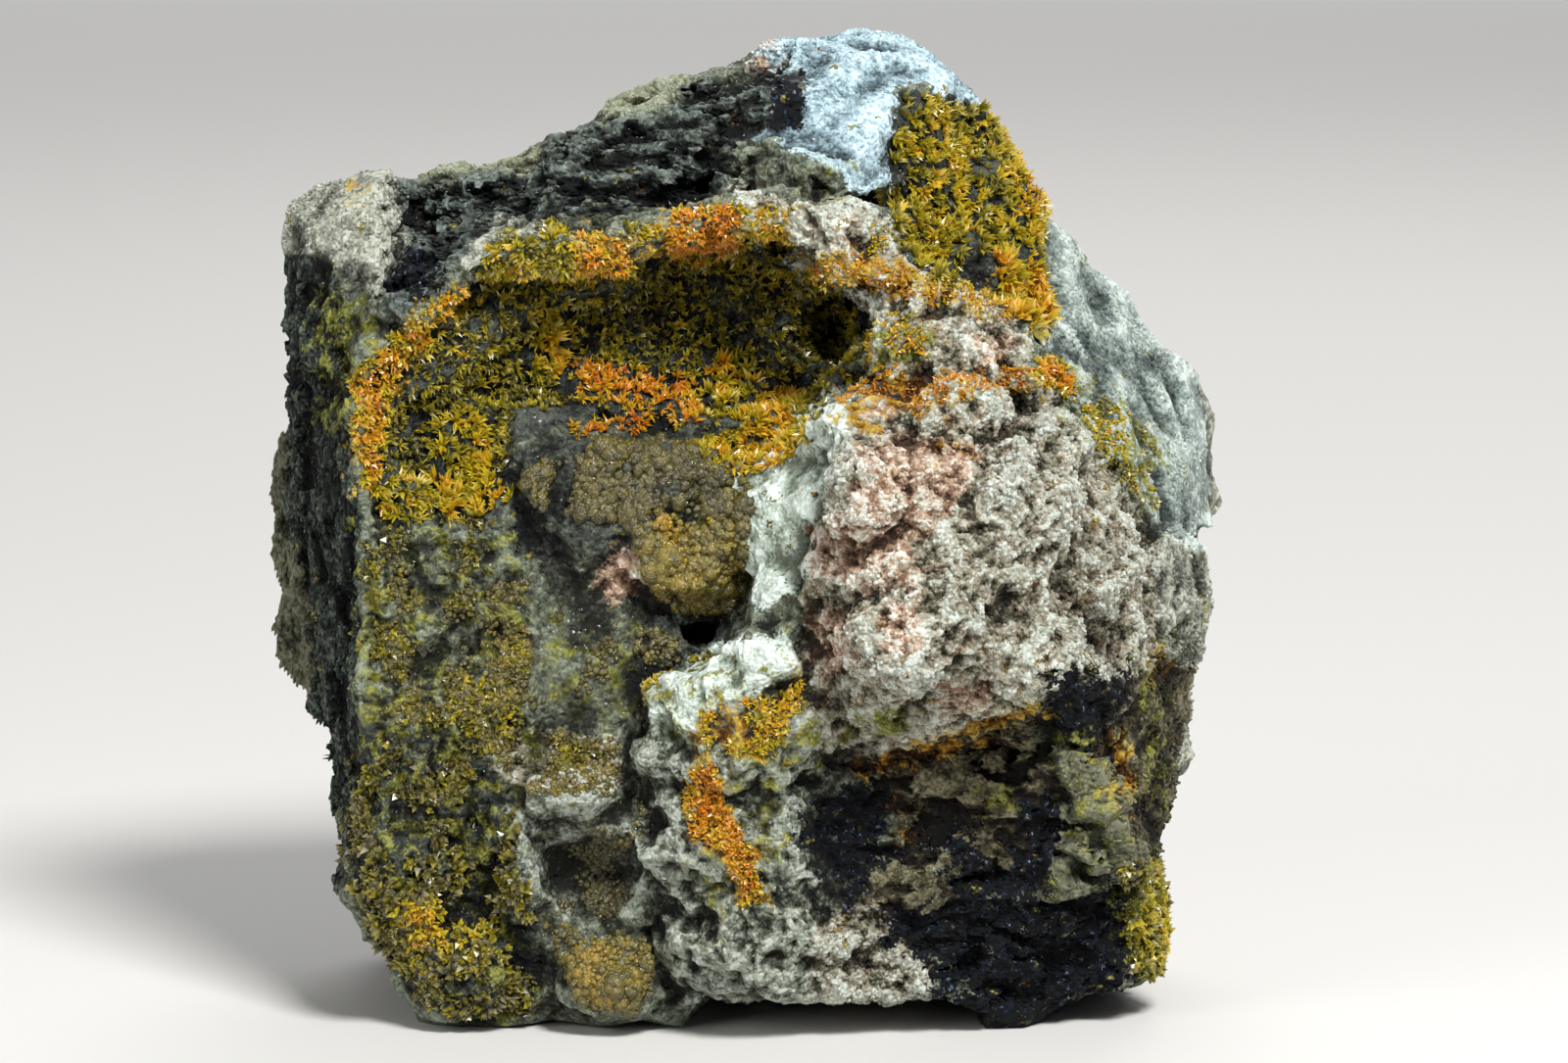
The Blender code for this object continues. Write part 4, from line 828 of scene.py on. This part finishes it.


def knob_tree():
    """Small rounded knobs grown together over a bed of rock."""
    tree, given, result = new_tree("crystal_knobs", {**ROOTS, "Smallest": "Float"})
    points = bed_points(tree, given)
    tone = add(tree, RANDOM, {"Seed": 2}, out=1)
    kept = add(tree, KEEP, points.outputs["Points"], {"Name": "tone", "Value": tone})
    part_of_largest = add(tree, RANDOM, {2: given["Smallest"], 3: 1.0, "Seed": 3}, out=1)
    patch = add(tree, NOISE, {"Scale": per_mm(PATCH), "Detail": 3.0})
    swell = add(tree, RANGE, patch, 0.35, 0.6, *SWELL)
    radius = add(tree, MATH, add(tree, READ, "size"), part_of_largest, operation="MULTIPLY")
    radius = add(tree, MATH, radius, swell, operation="MULTIPLY")
    ball = add(tree, "GeometryNodeMeshIcoSphere", {"Radius": 1.0, "Subdivisions": 1})
    bumps = add(tree, NOISE, {"Scale": 2.4, "Detail": 1.0})
    lift = add(tree, MATH, bumps, *DENTS, operation="MULTIPLY_ADD")
    push = add(tree, VECTOR, add(tree, "GeometryNodeInputNormal"), {3: lift}, operation="SCALE")
    ball = add(tree, MOVE, ball, {"Offset": push})
    ball = add(tree, KEEP, ball, {"Name": "along", "Value": KNOB_TONE})
    spin = add(tree, RANDOM, {1: ANY_WAY, "Seed": 4}, data_type="FLOAT_VECTOR")
    form = add(tree, RANDOM, KNOB_FORM, {"Seed": 5}, data_type="FLOAT_VECTOR")
    form = add(tree, VECTOR, form, {3: radius}, operation="SCALE")
    return planted(tree, given, result, kept, ball, spin, form, smooth=True)


GRAIN_RADIUS = 0.6              # as a share of its bed's grain


def grain_tree():
    """Angular grains and flakes of stone over a bed of rock."""
    tree, given, result = new_tree("broken_grains", {**ROOTS, "Form": "Vector", "Turn": "Vector"})
    points = bed_points(tree, given).outputs["Points"]
    form = add(tree, RANDOM, GRAIN_FORM, {"Seed": 3}, data_type="FLOAT_VECTOR")
    form = add(tree, VECTOR, form, given["Form"], operation="MULTIPLY")
    form = add(tree, VECTOR, form, {3: add(tree, READ, "size")}, operation="SCALE")
    grain = add(tree, "GeometryNodeMeshIcoSphere", {"Radius": GRAIN_RADIUS, "Subdivisions": 1})
    spin = add(tree, RANDOM, {1: given["Turn"], "Seed": 4}, data_type="FLOAT_VECTOR")
    return planted(tree, given, result, points, grain, spin, form)


# ---- Materials ----

def new_material(name):
    """An empty material and its tree."""
    material = bpy.data.materials.new(name)
    material.use_nodes = True
    tree = material.node_tree
    tree.nodes.clear()
    return material, tree


# Fields that the stones' colours are read from: texture, grain in millimetres, output. A cell is one
# grain of quartz or feldspar. Real grains go down to 0.1 mm, and these are as coarse as it takes to show.
FIELDS = {
    "fine": (NOISE, (0.24, 0.24, 0.24), 0),
    "mottle": (NOISE, (1.3, 1.3, 1.3), 0),
    "patch": (NOISE, (6, 6, 6), 0),
    "layers": (NOISE, (1.6, 1.6, 0.35), 0),
    "leaves": (NOISE, (0.35, 0.5, 1.8), 0),
    "grain": (CELLS, (0.34, 0.34, 0.34), 1),
    "bead": (CELLS, (0.34, 0.34, 0.34), 0),
}

# What a stone's colour follows: a weighted sum of fields, plus a constant. "First" and "second" are two
# tones of its own that each grain has, and "ridge" is high on crests and low in pits, so its weight paints
# crests lighter and pits darker: painted light and painted shade.
SPECK = {"fine": 0.6, "mottle": 0.5, "first": 0.3, "ridge": 0.7, "one": -0.55}
CHALK = {"fine": 0.6, "mottle": 0.3, "first": 0.34, "ridge": 0.7, "one": -0.44}
LEVEL = {
    "layers": 0.45, "fine": 0.35, "mottle": 0.35, "first": 0.1, "second": 0.2, "ridge": 0.8, "one": -0.62,
}
UPRIGHT = {
    "leaves": 0.5, "fine": 0.45, "mottle": 0.3, "first": 0.1, "second": 0.25, "ridge": 0.5, "one": -0.56,
}
SPANGLED = {"fine": 0.5, "mottle": 0.42, "first": 0.15, "second": 0.45, "one": -0.27}

# Places on a ramp of four colours, for a stone of middling and of pale tone.
MIDDLING = (0.25, 0.42, 0.6, 0.85)
PALE = (0.22, 0.42, 0.6, 0.85)

# Each stone lies over those before it, inside its zone: how far its edge strays, how soft that edge is,
# what its colour follows, and its colours from the darkest up.
STONES = (
    # Dark slaty floor of the hollows, partly painted shade: it also darkens gaps in the druses, and its
    # colours are darkened for the shade in the hollows.
    ("slate_and_shade", 0.8, 0.06, SPECK, MIDDLING, "#0A0C0A #1B1E1B #323630 #565B52"),
    # Beige weathered crust.
    ("beige", 1, 0.06, SPECK, (0.25, 0.42, 0.58, 0.8), "#3F3E2D #65654B #81846B #A1A88F"),
    # Upright layers of beige, brown, olive-yellow and dark stone.
    ("layered", 0.8, 0.06, UPRIGHT, (0.28, 0.4, 0.48, 0.54, 0.64, 0.8),
     "#13120A #35311C #605A1E #533D21 #727558 #A2A58B"),
    # Brown-grey broken wall.
    ("brown", 1.2, 0.06, SPECK, MIDDLING, "#12110B #2B261A #4A4532 #7C785D"),
    # Pale granular quartz with grey and rusty grains.
    ("pale", 1, 0.06, SPECK, PALE, "#32342C #5C5E54 #848779 #C0C2B3"),
    # Sugary quartz, faintly blue.
    ("white", 1, 0.06, SPECK, PALE, "#415055 #71868C #99B0B8 #CFE7F0"),
    # Milky quartz, weathered.
    ("milky", 1, 0.06, SPECK, PALE, "#4A5654 #77837D #9AA69F #D0DBD5"),
    # Grey druse of quartz, pitted.
    ("drusy", 1, 0.1, SPECK, MIDDLING, "#20221A #4E5245 #7E8375 #B6BDB1"),
    # Druse of tiny clear quartz points over pale green-grey.
    ("frosted", 0.9, 0.1, SPECK, PALE, "#77806D #AEBBAB #CCD9CE #F1FBF4"),
    # Chalky porous quartz with stray yellowish and rosy grains; its pale ridges and dull pits are painted
    # light and painted shade.
    ("chalky", 1, 0.06, CHALK, (0.2, 0.34, 0.45, 0.56, 0.7, 0.86),
     "#373329 #66614B #888573 #9E9683 #B2B4A5 #CCD3C9"),
    # Salmon feldspar.
    ("pink", 1.9, 0.2, CHALK, MIDDLING, "#563F30 #91735C #B89C84 #E0DFD2"),
    # Dark gneiss, layered level in the band and upright on the left flank.
    ("dark_band", 0.7, 0.06, LEVEL, (0.3, 0.48, 0.6, 0.74, 0.95),
     "#0A0C0C #1E2221 #353A35 #555C56 #839087"),
    ("dark_flank", 0.7, 0.06, UPRIGHT, (0.3, 0.45, 0.57, 0.7, 0.92),
     "#040604 #101411 #212723 #404841 #70786A"),
    # Weathered slab: the prow's edge and panel, and the slab behind the left flank.
    ("slab", 0.5, 0.06, SPECK, MIDDLING, "#1F2016 #434535 #5C5D4A #7F7F68"),
    # Blue-black galena; its small bright cleavages are painted highlights.
    ("navy", 2.4, 0.05, SPANGLED, (0.3, 0.5, 0.63, 0.76, 0.9), "#010202 #030508 #0A101B #152034 #798797"),
    # Films of olive-yellow and orange lead minerals.
    ("yellow_stain", 1.9, 0.2, SPECK, MIDDLING, "#232305 #43430E #63621F #8C8F4A"),
    ("orange_stain", 1.7, 0.16, SPECK, MIDDLING, "#543007 #855B11 #A67C1F #BEA64D"),
)
PLAIN_STONE = (MIDDLING, "#21231C #404337 #5D6252 #899180")

# How high the surface stands: a dome on each grain, and the rest at random.
GRIT_HEIGHT = {"bead": -0.9, "fine": 0.4, "first": 0.5, "mottle": 0.5}
PIT_SHADE = (0.5, 1.0)          # painted shade: the colour is this much darker deep in a pit, and not at all on a crest
DRIFT_SHADE = (0.88, 1.0)       # and it drifts this much from one broad patch to another
MATT, GLINTING = 0.85, 0.2      # roughness of broken stone, and of its few clear grains
GRITTY, RUBBED = 0.9, 0.45      # strength of the bump, and its strength where the rock is smooth


def weighted(tree, fields, weights):
    """The sum of the fields, each times its weight."""
    total = 0.0
    for name, weight in weights.items():
        total = add(tree, MATH, fields[name], weight, total, operation="MULTIPLY_ADD")
    return total


def shaded(tree, tint, shade):
    """The colour, darkened."""
    grey = add(tree, "ShaderNodeCombineColor", shade, shade, shade)
    return add(tree, MIX, 1.0, {6: tint, 7: grey}, out=2, data_type="RGBA", blend_type="MULTIPLY")


def weathered_rock_material():
    """Granular grey quartz rock with veins and patches of other stones.

    Broken by hand and weathered: a dry matt surface with single grains that glint.
    """
    material, tree = new_material("weathered_quartz_rock")
    here = add(tree, "ShaderNodeTexCoord", out="Object")
    fields = {"one": 1.0, "ridge": add(tree, PAINTED, attribute_name="ridge", out="Fac")}
    for name, (texture, grain, out) in FIELDS.items():
        fields[name] = pattern(tree, here, texture, grain, out)
    tones = add(tree, "ShaderNodeSeparateColor", fields["grain"]).node.outputs
    fields["first"], fields["second"] = tones[0], tones[1]

    places, codes = PLAIN_STONE
    stone = add(tree, RAMP, weighted(tree, fields, SPECK), stops=list(zip(places, codes.split())))
    for name, wobble, soft, follows, places, codes in STONES:
        fields["zone"] = add(tree, PAINTED, attribute_name=name, out="Fac")
        strayed = weighted(tree, fields, {
            "zone": 1.0, "mottle": wobble, "fine": 0.5 * wobble, "one": -0.75 * wobble,
        })
        inside = add(tree, RANGE, strayed, 0.5 - soft, 0.5 + soft, interpolation_type="SMOOTHSTEP")
        tint = add(tree, RAMP, weighted(tree, fields, follows), stops=list(zip(places, codes.split())))
        stone = add(tree, MIX, inside, {6: stone, 7: tint}, out=2, data_type="RGBA")

    # Painted shade deep in the pits, times the drift of tone from one broad patch to another.
    pit = add(tree, RANGE, fields["ridge"], 0.1, 0.55, *PIT_SHADE)
    drift = add(tree, RANGE, fields["patch"], 0.35, 0.65, *DRIFT_SHADE)
    stone = shaded(tree, stone, add(tree, MATH, pit, drift, operation="MULTIPLY"))
    glint = add(tree, RANGE, fields["second"], 0.84, 0.88, MATT, GLINTING)
    worn = add(tree, PAINTED, attribute_name="smooth", out="Fac")
    bump = add(tree, "ShaderNodeBump", {
        "Height": weighted(tree, fields, GRIT_HEIGHT), "Distance": 0.2 * MM,
        "Strength": add(tree, RANGE, worn, 0.0, 1.0, GRITTY, RUBBED),
    })
    # The IOR of quartz, but broken and dusty, so that it shines less.
    shader = add(tree, SHADER, {
        "Base Color": stone, "Roughness": glint, "IOR": 1.55, "Specular IOR Level": 0.22, "Normal": bump,
    })
    add(tree, "ShaderNodeOutputMaterial", shader)
    return material


# What a crystal's colour follows: its bed's hue, its own tone, and clouds and drifts in millimetres.
CRYSTAL_TONE = {"hue": 0.9, "tone": 0.3, "cloud": 0.6, "drift": 0.5, "one": -0.68}
CLOUD, DRIFT = 1.4, 5
ROOT_SHADE = (0.22, 1.0)        # painted shade: the colour's factor at a blade's root, and from two thirds up
# Painted highlight: how far a blade's upper part is mixed towards the tips colour.
TIP_HIGHLIGHT = 0.3
# Width and height, in millimetres, of the tiny crystals that frost a knob, coarser than real so they show.
FROST = (0.22, 0.14)


def crystal_material(name, palette, roughness, lustre, sugar):
    """Mimetite and pyromorphite, grown in open space: resinous, with a painted highlight on the points and
    painted shade at the roots.

    Sugar is how much the surface is frosted over with tiny crystals, a few of which glint.
    """
    material, tree = new_material(name)
    here = add(tree, "ShaderNodeTexCoord", out="Object")
    fields = {"one": 1.0}
    for field, width in (("cloud", CLOUD), ("drift", DRIFT)):
        fields[field] = add(tree, NOISE, here, {"Scale": per_mm(width)})
    for attribute in ("hue", "tone", "along"):
        fields[attribute] = add(tree, PAINTED, attribute_name=attribute, out="Fac")
    body = add(tree, RAMP, weighted(tree, fields, CRYSTAL_TONE), stops=palette)
    # Painted shade towards each blade's root, then a painted highlight that pales its upper part.
    body = shaded(tree, body, add(tree, RANGE, fields["along"], 0.15, 0.7, *ROOT_SHADE))
    clear = add(tree, RANGE, fields["along"], 0.6, 1.0, 0.0, TIP_HIGHLIGHT)
    tips = tuple(bpy.context.scene.specimen_colours.tips)
    body = add(tree, MIX, clear, {6: body, 7: tips}, out=2, data_type="RGBA")
    cells = add(tree, CELLS, here, {"Scale": per_mm(FROST[0])}).node.outputs
    glint = add(tree, "ShaderNodeSeparateColor", cells["Color"])
    glint = add(tree, RANGE, glint, 0.84, 0.86, roughness, roughness * (1 - sugar))
    bump = add(tree, "ShaderNodeBump", {
        "Height": cells["Distance"], "Strength": sugar, "Distance": -FROST[1] * MM,
    })
    # The high IOR of lead minerals, and a little light that goes through the thin blades.
    shader = add(tree, SHADER, {
        "Base Color": body, "Roughness": glint, "IOR": 2.05, "Specular IOR Level": lustre,
        "Transmission Weight": 0.15, "Normal": bump,
    })
    add(tree, "ShaderNodeOutputMaterial", shader)
    return material


# ---- Pieces ----

def covers(rows):
    """Each row's coverage and outline; a row that is an outline alone counts in full."""
    return [(1, row) if isinstance(row, str) else row for row in rows]


def zoned(rock):
    """Stores on the rock where each kind of stone, stain and relief is."""
    place = sighted(coordinates(rock.data))
    back = np.clip((place[2] - BEHIND) / DEPTH_BLEND, 0, 1)
    for name, rows in {**ZONES, **RELIEF, **STAINS}.items():
        edge = SHARP.get(name, EDGE)
        parts = [cover * share(o, place, edge=edge) for cover, o in covers(rows)]
        for cover, o in covers(BACK.get(name, ())):
            parts.append(cover * back * share(o, place, np.inf, BACK_EDGE))
        store(rock.data, name, np.max(parts, axis=0))


RIDGE_ROUNDS = 12               # rounds of smoothing that give the surface it is measured against
RIDGE_HEIGHT = 0.8              # from the bottom of a pit to a crest, in millimetres
RIDGE_TOP = 0.85


def ridges(mesh):
    """RIDGE_TOP on the crests of the surface, 0 deep in its pits, 0.5 where it is plain."""
    points = coordinates(mesh)
    ends = np.empty(len(mesh.edges) * 2, np.int32)
    mesh.edges.foreach_get("vertices", ends)
    first, second = ends[::2], ends[1::2]
    normals = np.empty(len(points) * 3, np.float32)
    mesh.vertices.foreach_get("normal", normals)
    touching = np.bincount(ends, minlength=len(points))
    smoothed = points.copy()
    for _ in range(RIDGE_ROUNDS):
        smoothed = np.stack([
            np.bincount(first, smoothed[second, axis], len(points))
            + np.bincount(second, smoothed[first, axis], len(points)) for axis in range(3)
        ], axis=1) / np.maximum(touching, 1)[:, None]
    sunk = ((smoothed - points) * normals.reshape(-1, 3)).sum(axis=1)
    return np.clip(0.5 - sunk / (RIDGE_HEIGHT * MM), 0, RIDGE_TOP)


ROOTED = 0.05                   # growth under which the rock stays bare
SIZED = 0.4                     # share of a bed from which its own size of crystal holds


def bed_on(rock, beds, depth, name):
    """The part of the rock's surface that a druse grows on, with how densely, how large and what hue."""
    mesh = rock.data
    points = coordinates(mesh)
    place = sighted(points)
    clear = points[:, 2] > CLEAR_OF_GROUND * MM
    growth, size, hue = (np.zeros(len(mesh.vertices)) for _ in range(3))
    for cover, crystal, tint, outline in beds:
        inside = clear * share(outline, place, depth, BED_EDGE)
        size = np.where(inside > SIZED, crystal * MM, size)
        hue = np.where(inside > 0, hue + (tint - hue) * inside, hue)
        growth = np.where(inside > 0, np.maximum(cover * inside, growth * (1 - inside)), growth)
    bm = bmesh.new()
    bm.from_mesh(mesh)
    bare = [v for v, g in zip(bm.verts, growth) if g < ROOTED]
    bmesh.ops.delete(bm, geom=bare, context="VERTS")
    bed = bpy.data.meshes.new(name)
    bm.to_mesh(bed)
    bm.free()
    for attribute, values in (("growth", growth), ("size", size), ("hue", hue)):
        store(bed, attribute, values[growth >= ROOTED])
    return new_object(name, bed)


SPARE_ROOM = 0.97               # thins a little more than the count asks, so that few rounds are enough
THINNING = 0.4                  # power of that share by which the least distance between roots grows


def grown(bed, tree, values, name, most):
    """Runs the tree on the bed, thinning out until the piece has no more triangles than it may."""
    while True:
        made = run_tree(new_object(name, bed.data.copy()), tree, values, name)
        count = triangle_count(made.data)
        if count <= most:
            break
        bpy.data.objects.remove(made)
        room = (most / count) * SPARE_ROOM
        apart = values["Apart"] / room ** THINNING
        values = {**values, "Density": values["Density"] * room, "Apart": apart}
    bpy.data.objects.remove(bed)
    kept_in_box(made.data)
    return made


def grow_all(table, tree, material, inputs):
    """Grows one piece for each entry of the table; inputs gives the tree's for an entry and its size."""
    rock = bpy.data.objects["weathered_rock"]
    for seed, (name, entry) in enumerate(table.items()):
        beds = entry["beds"]
        bed = bed_on(rock, beds, entry.get("depth", FRONT), name + "_bed")
        values = inputs(entry, sum(b[1] for b in beds) / len(beds))
        made = grown(bed, tree, {**values, "Seed": seed, "Material": material}, name, entry["most"])
        finished(made, material, entry.get("replaces"))


class SPECIMEN_OT_rock(bpy.types.Operator):
    """Weathers the matrix rock: lumps, pores, cleaved steps and its kinds of stone"""
    bl_idname = "specimen.rock"
    bl_label = "Weathered rock"

    def execute(self, context):
        settings = context.scene.specimen_rock
        rock = merged_copy("matrix_rock", "rock_draft")
        remesh = rock.modifiers.new("Grain", "REMESH")
        remesh.mode = "VOXEL"
        remesh.voxel_size = settings.grain
        rock = applied(rock, "rock_draft")
        zoned(rock)
        rock = run_tree(rock, relief_tree(), {
            height: getattr(settings, height.lower()) for height in RELIEF_HEIGHTS
        }, "rock_draft")
        # The far side keeps fewer faces than the broad face, which has the finest detail.
        far = sighted(coordinates(rock.data))[2] > FRONT + DEPTH_BLEND
        group = rock.vertex_groups.new(name="far")
        group.add([int(i) for i in np.flatnonzero(far)], 1, "REPLACE")
        near = triangle_count(rock.data) * (1 - far.mean())
        for name, part in ((group.name, near + settings.far), ("", settings.triangles)):
            thin = rock.modifiers.new("Thin out", "DECIMATE")
            thin.vertex_group = name
            thin.ratio = min(1, part / triangle_count(rock.data))
            rock = applied(rock, "weathered_rock")
        kept_in_box(rock.data)
        # The rock's material reads this to paint pits darker and crests lighter: painted shade and painted
        # light.
        store(rock.data, "ridge", ridges(rock.data))
        rock.data.shade_flat()
        finished(rock, weathered_rock_material(), "matrix_rock")
        return {"FINISHED"}


# Least distance between two roots: as a share of a grain's or a crystal's size, and in millimetres.
GRAIN_GAP, SPRAY_GAP, KNOB_GAP = 0.5, 0.25, 0.13
CROWDING = 1.4                  # sprays tried for each that is asked for, because some stand too near


class SPECIMEN_OT_grains(bpy.types.Operator):
    """Scatters the stones' broken grains and flakes over the rock"""
    bl_idname = "specimen.grains"
    bl_label = "Broken grains"

    def execute(self, context):
        settings = context.scene.specimen_grains
        grow_all(GRAINS, grain_tree(), bpy.data.materials["weathered_quartz_rock"], lambda patch, size: {
            "Density": settings.grains / (size * size) / MM ** 2, "Apart": GRAIN_GAP * size * MM,
            "Form": patch["form"], "Turn": patch["turn"],
        })
        return {"FINISHED"}


class SPECIMEN_OT_sprays(bpy.types.Operator):
    """Grows the druses of pointed crystals on the rock"""
    bl_idname = "specimen.sprays"
    bl_label = "Crystal sprays"

    def execute(self, context):
        settings = context.scene.specimen_crystals
        tints = context.scene.specimen_colours
        palette = (
            (0.0, "#36361A"), (0.2, tints.olive), (0.38, "#C4B00C"), (0.55, tints.golden),
            (0.78, tints.orange), (1.0, "#DE6C06"),
        )
        material = crystal_material("resinous_mimetite_sprays", palette, 0.36, lustre=0.34, sugar=0)
        grow_all(POINTED, spray_tree(), material, lambda druse, size: {
            "Density": settings.sprays / (size * size) / MM ** 2 * CROWDING,
            "Apart": SPRAY_GAP * size * MM,
            "Blades": druse.get("blades", settings.blades),
            "Width": settings.width * druse.get("stubby", 1),
            "Thickness": settings.thickness * druse.get("stubby", 1),
            "Spread": settings.spread, "Depth": settings.depth,
        })
        return {"FINISHED"}


class SPECIMEN_OT_knobs(bpy.types.Operator):
    """Grows the masses of rounded knobs on the rock"""
    bl_idname = "specimen.knobs"
    bl_label = "Botryoidal knobs"

    def execute(self, context):
        settings = context.scene.specimen_knobs
        palette = (
            (0.0, "#272508"), (0.3, "#544C11"), (0.55, "#837011"), (0.8, "#AD800C"), (1.0, "#C4A308"),
        )
        material = crystal_material("waxy_mimetite_knobs", palette, 0.5, lustre=0.3, sugar=0.8)
        grow_all(KNOBBLY, knob_tree(), material, lambda mass, size: {
            "Density": settings.knobs / MM ** 2, "Apart": KNOB_GAP * MM, "Smallest": settings.smallest,
        })
        return {"FINISHED"}


# Soft round lights, in metres: place, what it points at, width and watts.
MIDDLE = (0, 0, 0.036)
LIGHTS = {
    "key_light": ((0.2, -0.42, 0.56), MIDDLE, 0.22, 6.5),
    "fill_light": ((-0.5, -0.5, 0.3), MIDDLE, 0.4, 1.6),
    "back_light": ((0.1, 0.5, 0.5), MIDDLE, 0.4, 1.3),
    "floor_light": ((0, 1.5, 1), (0, 1.5, 0), 1.2, 9),
}
AIR_LIGHT = 0.2                 # strength of the light from all round


class SPECIMEN_OT_stage(bpy.types.Operator):
    """Sets the studio: a pale floor, soft lights and the camera square to the broad face"""
    bl_idname = "specimen.stage"
    bl_label = "Studio"

    def execute(self, context):
        scene = context.scene
        tints = scene.specimen_colours
        bm = bmesh.new()
        bmesh.ops.create_grid(bm, x_segments=1, y_segments=1, size=3)
        floor_mesh = bpy.data.meshes.new("studio_floor")
        bm.to_mesh(floor_mesh)
        bm.free()
        material, tree = new_material("matt_paper_floor")
        shader = add(tree, SHADER, {"Base Color": tuple(tints.floor), "Roughness": 0.9})
        add(tree, "ShaderNodeOutputMaterial", shader)
        floor_mesh.materials.append(material)
        new_object("studio_floor", floor_mesh)

        for name, (place, target, width, watts) in LIGHTS.items():
            light = bpy.data.lights.new(name, "AREA")
            light.shape = "DISK"
            light.size = width
            light.energy = watts
            obj = new_object(name, light)
            obj.location = place
            obj.rotation_euler = (Vector(target) - Vector(place)).to_track_quat("-Z", "Y").to_euler()
        scene.world = bpy.data.worlds.new("studio_air")
        scene.world.use_nodes = True
        air = scene.world.node_tree.nodes["Background"].inputs
        air["Color"].default_value = tints.air
        air["Strength"].default_value = AIR_LIGHT
        scene.view_settings.view_transform = "Standard"

        camera = bpy.data.cameras.new("camera")
        camera.sensor_width = SENSOR_WIDTH
        camera.lens = SENSOR_WIDTH * SIGHT_DISTANCE / VIEW_WIDTH
        camera.clip_start = 0.01
        camera.clip_end = 20
        obj = new_object("camera", camera)
        turn = Matrix.Rotation(-LEAN, 3, "X")
        eye = Vector((AIM[0], -SIGHT_DISTANCE, AIM[2]))
        obj.location = (turn @ eye + Vector(FACE_ORIGIN)) * MM
        obj.rotation_euler = (math.pi / 2 - LEAN, 0, 0)
        scene.camera = obj
        return {"FINISHED"}


class SPECIMEN_PT_panel(bpy.types.Panel):
    """Lists the specimen's settings and pieces"""
    bl_label = "Specimen"
    bl_space_type = "VIEW_3D"
    bl_region_type = "UI"
    bl_category = "Specimen"

    def draw(self, context):
        for name, group in SETTINGS.items():
            box = self.layout.box()
            for prop in group.__annotations__:
                box.prop(getattr(context.scene, name), prop)
        for operator in OPERATORS:
            self.layout.operator(operator.bl_idname)


OPERATORS = (
    SPECIMEN_OT_rock, SPECIMEN_OT_grains, SPECIMEN_OT_sprays, SPECIMEN_OT_knobs, SPECIMEN_OT_stage,
)


def register():
    for cls in (*SETTINGS.values(), *OPERATORS, SPECIMEN_PT_panel):
        bpy.utils.register_class(cls)
    for name, group in SETTINGS.items():
        setattr(bpy.types.Scene, name, PointerProperty(type=group))


def unregister():
    for name in SETTINGS:
        delattr(bpy.types.Scene, name)
    for cls in reversed((*SETTINGS.values(), *OPERATORS, SPECIMEN_PT_panel)):
        bpy.utils.unregister_class(cls)


def main():
    register()
    for operator in OPERATORS:
        group, name = operator.bl_idname.split(".")
        getattr(getattr(bpy.ops, group), name)()


if __name__ == "__main__":
    main()
